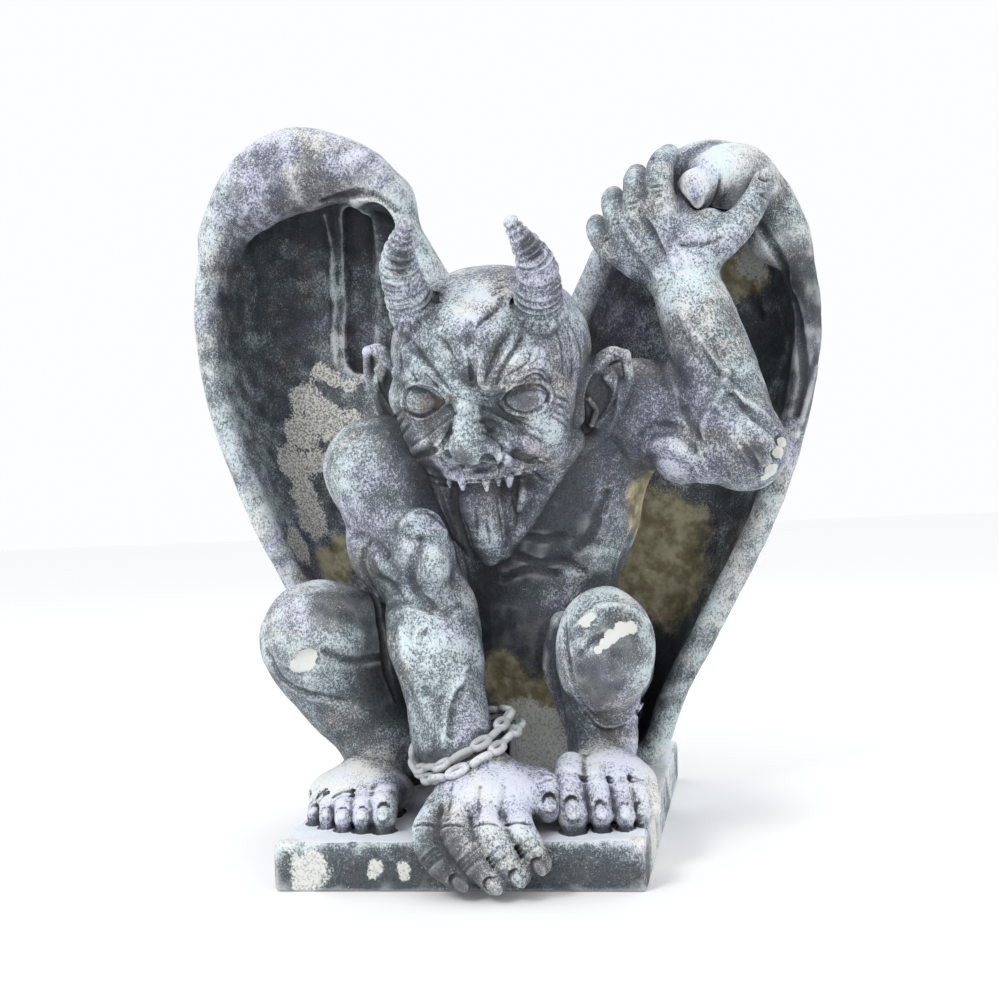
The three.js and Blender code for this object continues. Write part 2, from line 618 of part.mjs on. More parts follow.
// How closely each place keeps its shape: the face, the hands and the feet count for more
const cares = [
  { place: [20, -170, 500], reach: 120, share: 10 },
  { place: bracedArm.hand.centre, reach: 95, share: 4 },
  { place: bracedArm.wrist.from, reach: 90, share: 4 },
  { place: raisedArm.hand.centre, reach: 100, share: 4 },
  { place: legLeft.ball.centre, reach: 85, share: 3 },
  { place: legRight.ball.centre, reach: 85, share: 3 },
  { place: headPose.centre, reach: 180, share: 3 },
];
function care([x, y, z]) {
  const found = cares.find(({ place: [cx, cy, cz], reach }) => Math.hypot(x - cx, y - cy, z - cz) < reach);
  return found ? found.share : 1;
}

// Limits on a collapse: how far a face may turn, how small one may get in square millimetres, how far outside
// the old edge its point may lie in edge lengths, and how much a long edge costs
const thinning = { turn: 0.3, smallest: 0.4, farthest: 2, lengthCost: 1e-3, flat: 1e-6 };

// Collapses the edge that moves the surface least, over and over, until few enough faces are left
function simplify({ points, faces }, target) {
  const quadrics = points.map(() => new Float64Array(10));
  const around = points.map(() => new Set());
  const alive = new Uint8Array(faces.length).fill(1);
  const stamp = new Uint32Array(points.length);
  const normalOf = (a, b, c) => {
    const ux = b[0] - a[0];
    const uy = b[1] - a[1];
    const uz = b[2] - a[2];
    const vx = c[0] - a[0];
    const vy = c[1] - a[1];
    const vz = c[2] - a[2];
    return [uy * vz - uz * vy, uz * vx - ux * vz, ux * vy - uy * vx];
  };
  faces.forEach((face, f) => {
    const [a, b, c] = face.map((v) => points[v]);
    const n = normalOf(a, b, c);
    const area = Math.hypot(...n) || 1e-12;
    const plane = [n[0] / area, n[1] / area, n[2] / area];
    plane.push(-(plane[0] * a[0] + plane[1] * a[1] + plane[2] * a[2]));
    const weight = area * care(a);
    for (const v of face) {
      around[v].add(f);
      let m = 0;
      for (let i = 0; i < 4; i++) {
        for (let j = i; j < 4; j++, m++) quadrics[v][m] += weight * plane[i] * plane[j];
      }
    }
  });
  const error = (q, [x, y, z]) => q[0] * x * x + 2 * q[1] * x * y + 2 * q[2] * x * z + 2 * q[3] * x
    + q[4] * y * y + 2 * q[5] * y * z + 2 * q[6] * y + q[7] * z * z + 2 * q[8] * z + q[9];
  const best = (a, b) => {
    const q = quadrics[a].map((v, i) => v + quadrics[b][i]);
    const middle = between(points[a], points[b], 0.5);
    const choices = [points[a], points[b], middle];
    const c00 = q[4] * q[7] - q[5] * q[5];
    const c01 = q[2] * q[5] - q[1] * q[7];
    const c02 = q[1] * q[5] - q[2] * q[4];
    const det = q[0] * c00 + q[1] * c01 + q[2] * c02;
    if (Math.abs(det) > thinning.flat * (q[0] + q[4] + q[7]) ** 3) {
      const c11 = q[0] * q[7] - q[2] * q[2];
      const c12 = q[1] * q[2] - q[0] * q[5];
      const c22 = q[0] * q[4] - q[1] * q[1];
      choices.push([
        -(c00 * q[3] + c01 * q[6] + c02 * q[8]) / det,
        -(c01 * q[3] + c11 * q[6] + c12 * q[8]) / det,
        -(c02 * q[3] + c12 * q[6] + c22 * q[8]) / det,
      ]);
    }
    const span = Math.hypot(...points[a].map((v, i) => v - points[b][i]));
    let pick = null;
    for (const p of choices) {
      if (Math.hypot(...p.map((v, i) => v - middle[i])) > thinning.farthest * span) continue;
      const cost = error(q, p);
      if (!pick || cost < pick.cost) pick = { cost, place: p };
    }
    pick.cost += thinning.lengthCost * span * span;
    return pick;
  };
  const heap = new Heap();
  const offer = (a, b) => heap.push({ ...best(a, b), a, b, stampA: stamp[a], stampB: stamp[b] });
  const neighbours = (v) => {
    const found = new Set();
    for (const f of around[v]) for (const w of faces[f]) if (w !== v) found.add(w);
    return found;
  };
  points.forEach((_, v) => neighbours(v).forEach((w) => { if (w > v) offer(v, w); }));
  const turnsOver = (v, other, place) => {
    for (const f of around[v]) {
      const face = faces[f];
      if (face.includes(other)) continue;
      const before = normalOf(...face.map((w) => points[w]));
      const after = normalOf(...face.map((w) => (w === v ? place : points[w])));
      const dot = before[0] * after[0] + before[1] * after[1] + before[2] * after[2];
      const size = Math.hypot(...after);
      if (size < thinning.smallest || dot < thinning.turn * Math.hypot(...before) * size) return true;
    }
    return false;
  };
  let left = faces.length;
  while (left > target && heap.items.length) {
    const { a, b, place, stampA, stampB } = heap.pop();
    if (stamp[a] !== stampA || stamp[b] !== stampB) continue;
    const nearB = neighbours(b);
    const shared = [...neighbours(a)].filter((v) => nearB.has(v));
    if (shared.length !== 2 || turnsOver(a, b, place) || turnsOver(b, a, place)) continue;
    for (const f of [...around[b]]) {
      if (faces[f].includes(a)) {
        alive[f] = 0;
        left -= 1;
        for (const v of faces[f]) around[v].delete(f);
      } else {
        faces[f] = faces[f].map((v) => (v === b ? a : v));
        around[a].add(f);
      }
    }
    points[a] = place;
    quadrics[a] = quadrics[a].map((v, i) => v + quadrics[b][i]);
    around[b].clear();
    stamp[a] += 1;
    stamp[b] += 1;
    neighbours(a).forEach((w) => offer(a, w));
  }
  return { points, faces: faces.filter((_, f) => alive[f]) };
}

// A heap that gives back the cheapest item first
class Heap {
  constructor() {
    this.items = [];
  }

  push(item) {
    const { items } = this;
    let i = items.push(item) - 1;
    while (i > 0) {
      const parent = (i - 1) >> 1;
      if (items[parent].cost <= item.cost) break;
      items[i] = items[parent];
      i = parent;
    }
    items[i] = item;
  }

  pop() {
    const { items } = this;
    const top = items[0];
    const item = items.pop();
    let i = 0;
    while (items.length) {
      let child = 2 * i + 1;
      if (child >= items.length) break;
      if (child + 1 < items.length && items[child + 1].cost < items[child].cost) child += 1;
      if (items[child].cost >= item.cost) break;
      items[i] = items[child];
      i = child;
    }
    if (items.length) items[i] = item;
    return top;
  }
}

// Solids
function solidFromFaces({ points, faces }) {
  const used = new Map();
  const vertices = [];
  const triangles = faces.flat().map((v) => {
    if (!used.has(v)) {
      used.set(v, vertices.length / 3);
      vertices.push(...points[v]);
    }
    return used.get(v);
  });
  const vertProperties = new Float32Array(vertices);
  const triVerts = new Uint32Array(triangles);
  return new wasm.Manifold(new wasm.Mesh({ numProp: 3, vertProperties, triVerts }));
}

function solidFromGeometry(geometry) {
  geometry.deleteAttribute('normal');
  geometry.deleteAttribute('uv');
  const merged = mergeVertices(geometry);
  const vertProperties = new Float32Array(merged.attributes.position.array);
  const triVerts = new Uint32Array(merged.index.array);
  return new wasm.Manifold(new wasm.Mesh({ numProp: 3, vertProperties, triVerts }));
}

function geometryFromSolid(solid) {
  const { vertProperties, triVerts } = solid.getMesh();
  const geometry = new THREE.BufferGeometry();
  geometry.setAttribute('position', new THREE.BufferAttribute(vertProperties, 3));
  geometry.setIndex(new THREE.BufferAttribute(triVerts, 1));
  geometry.computeVertexNormals();
  return geometry;
}

// The plinth's block, with its upright corners and top edge worn round
function plinthSolid() {
  const { corners, height, wear } = plinth;
  const count = corners.length;
  const inner = corners.map((corner, i) => {
    const here = new THREE.Vector2(...corner);
    const before = new THREE.Vector2(...corners[(i + count - 1) % count]);
    const after = new THREE.Vector2(...corners[(i + 1) % count]);
    const a = here.clone().sub(before).normalize();
    const b = after.clone().sub(here).normalize();
    const inward = new THREE.Vector2(-a.y - b.y, a.x + b.x);
    return here.addScaledVector(inward, wear / (1 + a.dot(b)));
  });
  const block = new THREE.ExtrudeGeometry(new THREE.Shape(inner), {
    depth: height - 2 * wear, bevelThickness: wear, bevelSize: wear, bevelSegments: 1,
  });
  block.translate(0, 0, wear);
  return solidFromGeometry(block);
}

const rough = surface(carveFigure());
const fine = simplify(rough, carving.faces);
const carved = solidFromFaces(fine).add(plinthSolid());

const marble = new THREE.MeshStandardMaterial({ color: stoneColour, roughness: 0.85, metalness: 0 });
const gargoyle = new THREE.Mesh(geometryFromSolid(carved), marble);
gargoyle.name = 'gargoyle';

const part = new THREE.Group();
part.add(gargoyle);

export default part;
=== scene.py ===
# A crouching winged gargoyle, carved in one block with its plinth, in weathered blue-grey marble
import math
import bpy
import numpy as np
import openvdb
from mathutils import Matrix, Vector, noise


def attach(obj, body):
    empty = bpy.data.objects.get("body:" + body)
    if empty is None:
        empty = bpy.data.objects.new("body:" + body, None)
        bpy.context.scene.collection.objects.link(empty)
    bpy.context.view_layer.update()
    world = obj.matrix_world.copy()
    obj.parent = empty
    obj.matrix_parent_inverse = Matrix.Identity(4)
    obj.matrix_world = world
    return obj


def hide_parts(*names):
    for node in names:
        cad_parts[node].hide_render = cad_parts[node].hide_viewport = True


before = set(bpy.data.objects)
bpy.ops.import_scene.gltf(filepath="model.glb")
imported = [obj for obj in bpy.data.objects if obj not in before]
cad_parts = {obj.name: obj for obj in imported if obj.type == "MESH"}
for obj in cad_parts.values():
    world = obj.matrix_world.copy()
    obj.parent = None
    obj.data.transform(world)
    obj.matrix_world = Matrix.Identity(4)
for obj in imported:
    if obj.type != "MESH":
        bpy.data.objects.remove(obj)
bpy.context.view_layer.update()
millimetre = 0.001

# The carving is planned in millimetres: X is the viewer's right, Y runs back, Z is up
carving = {
    "bodyStep": 2.0,  # grids that the parts are carved on
    "armStep": 1.6,
    "headStep": 1.25,
    "wingStep": 2.5,
    "triangles": 195000,  # for each piece
    "farAway": 60.0,
    "legBox": ((-300, -270, 40), (300, 260, 360)),  # each box holds the grid of one part
    "unevenness": [(26, 1.2), (14, 0.35)],  # size of the waves, and their depth
}
cameraPlan = {
    "place": (320.76, -1505.38, 413.10), "right": (0.97837365, 0.20219386, -0.04361924),
    "up": (0.04324677, 0.00626166, 0.9990448), "sensor": 36.0, "focalPixels": 1200.0, "photoPixels": 998,
    "near": 1100.0, "far": 1950.0,
}
digitPlan = {  # widths from root to tip as shares of the width, and which point has how many creases
    "toe": {"taper": (1, 1.08, 0.92), "blend": 5, "outward": (0, -0.35, 1), "creases": [(1, 2)],
            "nailed": True},
    "spread": {"taper": (1, 1.12, 1, 0.9), "blend": 6, "outward": (-0.3, -1, 0.35), "creases": [(2, 3)],
               "nailed": True},
    "spreadThumb": {"taper": (1, 0.9, 0.7), "blend": 9, "outward": (0.4, -0.6, 1), "creases": [],
                    "nailed": True},
    "grip": {"taper": (1, 1.1, 1, 0.85), "blend": 8, "outward": (-0.1, -1, 0.25), "creases": [],
             "nailed": False},
    "gripThumb": {"taper": (1.5, 1.25, 1, 0.85), "blend": 14, "outward": (0.2, -1, 0.4), "creases": [],
                  "nailed": True},
}
plinthPlan = {
    "box": ((-300, -290, -10), (320, 280, 680)),
    "corners": [(-201, -280), (202, -253), (206, 265), (-204, 265)],  # a little out of square, as it was cut
    "height": 54, "wear": 5,
    "seat": {"rough": ((60, 40, 70), 60, (50, 60, 150), 50, 20)},
    "toeBeds": {"right": ((118, -196, 62), 9, (196, -158, 62), 8, 6),
                "left": ((-96, -208, 62), 8, (-178, -182, 62), 7, 6)},
    "knocks": [(300, 843, 8), (352, 843, 6), (604, 843, 7), (638, 842, 9)],
}
torsoPlan = {
    "box": ((-220, -150, 40), (300, 260, 660)),
    # an egg is a centre, radii and a fillet; a limb is two ends with their radii, a swelling and a fillet
    "masses": {
        "pelvis": ((30, 125, 160), (125, 95, 92), 8), "belly": ((45, 72, 262), (98, 92, 112), 40),
        "ribs": ((58, 68, 405), (126, 102, 128), 50), "shoulders": ((-85, -5, 460), 66, (172, 30, 500), 64, 50),
        "neck": ((38, 30, 505), 72, (26, -45, 558), 74, 40),
        "flank": ((140, 60, 480), 42, (120, 20, 350), 34, 14, 30),
        "haunches": ((20, 190, 120), (150, 50, 95), 30), "bladeLeft": ((-24, 120, 430), (52, 40, 84), 24),
        "bladeRight": ((100, 120, 430), (52, 40, 84), 24),
    },
    "spine": [(38, 178, 540), (38, 172, 430), (36, 168, 320), (32, 196, 220)],
    "folds": [
        ("groove", 1.8, 9, [[(503, 578), (530, 569), (556, 574)], [(527, 536), (543, 539), (563, 536)],
         [(517, 556), (540, 563), (563, 561), (583, 571)]]),
        ("groove", 4, 10, [[(608, 493), (600, 513), (590, 536), (578, 546)]]),
        ("ridge", 2.4, 3, [[(641, 500), (633, 523), (619, 553), (614, 579)]]),
    ],
}
legLeft = {
    "hip": (-35, 125, 190), "knee": (-202, -100, 254), "kneeSize": (76, 68, 74),
    "shinTop": (-192, -78, 212), "ankle": (-138, -62, 118), "shinWidth": 66, "ankleWidth": 44,
    "chip": (308, 661), "chipSize": (17, 5, 14),
    "heel": (-130, 5, 80), "ball": (-138, -158, 80), "ballSize": (64, 54, 32),
    "toes": [
        ([(-98, -176, 84), (-93, -210, 82), (-88, -230, 68)], 15.5),
        ([(-124, -180, 84), (-118, -209, 80), (-113, -230, 67)], 13),
        ([(-147, -178, 82), (-142, -205, 78), (-137, -226, 66)], 12),
        ([(-168, -172, 78), (-164, -196, 74), (-160, -216, 65)], 11.5),
        ([(-185, -160, 74), (-183, -181, 71), (-180, -202, 64)], 10.5),
    ],
    "kneeRelief": [
        ("groove", 1.8, 1.5, [[(286, 669), (301, 675), (309, 674)]]),
        ("groove", 1.6, 8, [[(267, 653), (281, 678), (303, 692), (343, 700)]]),
        ("groove", 2, 8, [[(325, 652), (350, 661), (380, 657)]]),
        ("groove", 3, 5, [[(365, 577), (376, 602), (382, 633), (387, 672), (396, 700)]]),
    ],
}
legRight = {
    "hip": (105, 130, 190), "knee": (154, -128, 240), "kneeSize": (58, 52, 72),
    "shinTop": (142, -90, 205), "ankle": (136, -55, 118), "shinWidth": 47, "ankleWidth": 37,
    "kneecap": {"egg": ((142, -123.2, 216), (40, 44, 40), 14)},
    "innerShin": [(96, -70, 262), (84, -60, 210), (98, -58, 150)], "innerShinWidths": (17, 17, 14),
    "heel": (128, 10, 80), "ball": (150, -138, 84), "ballSize": (56, 56, 40),
    "toes": [
        ([(112, -154, 108), (114, -192, 96), (122, -222, 71)], 19),
        ([(140, -154, 108), (144, -188, 96), (152, -216, 70)], 15),
        ([(162, -148, 104), (168, -180, 92), (176, -207, 68)], 13.5),
        ([(180, -138, 98), (186, -168, 88), (193, -193, 67)], 12),
        ([(194, -122, 90), (199, -150, 80), (204, -174, 66)], 10.5),
    ],
    "kneeRelief": [
        ("groove", 4.5, 5, [[(564, 625), (566, 653), (573, 683), (588, 712), (601, 727), (620, 726),
         (637, 713), (654, 686), (662, 658), (663, 630)]]),
        ("ridge", 4.6, 3, [[(568, 667), (575, 689), (589, 710), (602, 724), (620, 723), (636, 712),
         (652, 686), (660, 658)]]),
        ("ridge", 4, 8, [[(573, 630), (587, 616), (606, 606), (629, 608), (648, 622)]]),
        ("groove", 2.2, 6, [[(581, 653), (594, 640), (612, 634)]]),
    ],
}
bracedArm = {
    "shoulder": (-130, -48, 464), "shoulderSize": (74, 74, 66), "elbow": (-58, -98, 292),
    "wrist": (-28, -150, 148),
    "box": ((-230, -315, 0), (140, 60, 560)),
    "upperWidth": 60, "elbowWidth": 47, "foreWidth": 55, "wristWidth": 42, "foreSwell": 3, "gaps": (0.15, 0.12),
    "upperMuscles": {"outer": ((-150, -62, 400), 26, (-112, -84, 318), 26, 12, 14),
                     "inner": ((-72, -112, 392), 22, (-50, -122, 316), 24, 16, 10)},
    "foreMuscles": {"outer": ((-84, -112, 278), 26, (-62, -140, 210), 22, 8, 14)},
    "hand": (30, -208, 92), "handSize": (66, 66, 33),
    "fingers": [
        ([(-24, -236, 84), (-28, -272, 66), (-16, -288, 42), (12, -290, 20)], 15.5),
        ([(6, -240, 88), (6, -280, 68), (26, -294, 44), (48, -292, 20)], 16),
        ([(36, -240, 88), (42, -280, 70), (58, -292, 50), (74, -290, 28)], 15.5),
        ([(64, -232, 84), (74, -272, 70), (86, -284, 56), (96, -284, 38)], 14),
    ],
    "thumb": ([(64, -186, 98), (90, -204, 98), (96, -228, 79)], 20),
    "relief": [
        ("ridge", 10, 12, [[(404, 525), (417, 517), (433, 520), (443, 531)]]),
        ("ridge", 17, 14, [[(433, 555), (436, 571), (433, 589)]]),
        ("ridge", 9, 10, [[(379, 559), (387, 568), (395, 576)]]),
        ("groove", 4, 7, [[(344, 525), (355, 534), (368, 540), (379, 547), (387, 555)]]),
        ("groove", 3.4, 4, [[(417, 512), (427, 511), (436, 515), (445, 525)]]),
        ("groove", 5, 8, [[(421, 538), (417, 552), (411, 565), (410, 581), (417, 595), (430, 607)]]),
        ("groove", 4, 6, [[(368, 543), (363, 554), (362, 567), (369, 584), (379, 598), (384, 611)]]),
        ("groove", 3, 5, [[(404, 533), (411, 538), (420, 538)]]),
        ("groove", 4, 8, [[(384, 610), (398, 603), (411, 602), (427, 606), (443, 614), (460, 605)]]),
        ("groove", 3, 6, [[(379, 578), (390, 584), (400, 595)]]),
        ("ridge", 4, 6, [[(415, 645), (419, 630), (427, 626), (434, 633)]]),
        ("ridge", 5.5, 9, [[(466, 669), (465, 678), (456, 689), (449, 706), (446, 728), (444, 745)]]),
        ("groove", 3, 7, [[(470, 672), (468, 683), (460, 695), (454, 712), (451, 734)]]),
        ("ridge", 5, 14, [[(402, 630), (407, 658), (418, 686), (430, 717)]]),
    ],
    "sinews": [
        ("groove", 2, 6, [[(450, 786), (448, 800), (446, 818)], [(480, 786), (478, 800), (476, 818)],
         [(505, 786), (503, 800), (501, 818)]]),
    ],
    "thumbCreases": [
        ("groove", 1.6, 2, [[(538, 777), (545, 773), (552, 774)], [(540, 783), (547, 779), (555, 780)]]),
    ],
}
raisedArm = {
    "shoulder": (190, 18, 518), "shoulderSize": (70, 66, 70), "elbow": (322, -38, 462), "wrist": (258, 0, 672),
    "box": ((90, -110, 380), (400, 120, 880)),
    "upperWidth": 56, "elbowWidth": 50, "foreWidth": 46, "wristWidth": 43, "foreSwell": 5, "gaps": (0.2, 0.06),
    "upperMuscles": {"under": ((222, -22, 476), 26, (272, -44, 452), 28, 12, 10)},
    "foreMuscles": {"elbow": ((318, -70, 480), 26, (330, -66, 452), 24, 10)},
    "palm": {"back": ((222, 8, 735), (56, 28, 60), 22),
             "thumbRoot": ((262, 0, 712), 32, (290, 8, 742), 24, 16)},
    "breaks": [(783, 441, 9), (779, 455, 10), (771, 470, 9)],
    "fingers": [
        ([(250, -2, 700), (232, -8, 776), (232, 6, 822), (242, 36, 844)], 18),
        ([(238, 0, 700), (204, 0, 768), (200, 14, 806), (200, 44, 826)], 17),
        ([(228, 4, 696), (180, 10, 752), (170, 24, 786), (168, 54, 804)], 16.5),
        ([(222, 8, 690), (164, 20, 728), (148, 34, 754), (144, 60, 772)], 15.5),
    ],
    "thumb": ([(268, -4, 700), (318, -8, 732), (344, 2, 766), (358, 16, 796)], 17.5),
    "relief": [
        ("groove", 1.7, 1.6, [[(644, 156), (649, 154), (653, 153)], [(644, 161), (650, 158), (654, 158)],
         [(651, 188), (656, 186), (662, 186)], [(652, 194), (657, 191), (662, 191)], [(653, 198),
         (658, 195), (662, 196)], [(628, 204), (633, 202), (637, 201)], [(630, 209), (634, 207),
         (638, 206)], [(625, 169), (630, 166), (636, 165)], [(610, 221), (615, 219), (619, 219)],
         [(612, 225), (616, 223), (620, 223)], [(607, 184), (611, 179), (616, 176)], [(602, 242),
         (606, 239), (609, 239)], [(751, 206), (756, 210), (761, 216)], [(749, 210), (753, 213),
         (758, 220)], [(759, 194), (765, 196), (771, 202)], [(732, 237), (736, 239), (739, 244)],
         [(736, 233), (740, 236), (743, 240)]]),
        ("ridge", 6, 9, [[(682, 315), (694, 334), (708, 355), (727, 372)]]),
        ("ridge", 5.5, 7, [[(727, 372), (722, 391), (706, 421), (703, 457), (708, 474)], [(725, 381),
         (741, 398), (760, 412), (781, 431)]]),
        ("ridge", 5.5, 8, [[(646, 294), (651, 320), (663, 343), (672, 379), (680, 403)]]),
        ("groove", 3.5, 5, [[(680, 398), (687, 414), (696, 433), (706, 455)]]),
        ("groove", 3, 6, [[(694, 339), (706, 357), (717, 374)]]),
        ("groove", 3, 5, [[(732, 395), (746, 410), (765, 426), (777, 438)]]),
        ("ridge", 9, 10, [[(736, 436), (751, 455), (767, 462)]]),
        ("groove", 3.2, 6, [[(732, 431), (744, 445), (755, 466), (760, 478)]]),
        ("groove", 3.2, 5, [[(639, 436), (651, 426), (668, 424), (682, 426)]]),
        ("ridge", 10, 10, [[(646, 448), (670, 445), (691, 459)]]),
        ("ridge", 4, 6, [[(670, 237), (682, 253), (687, 263)]]),
        ("ridge", 5, 9, [[(651, 220), (665, 244), (675, 263)], [(625, 225), (642, 253), (658, 277)]]),
        ("groove", 3, 6, [[(639, 211), (651, 232), (663, 253)]]),
        ("groove", 2.6, 5, [[(682, 244), (703, 244), (722, 237)]]),
    ],
}
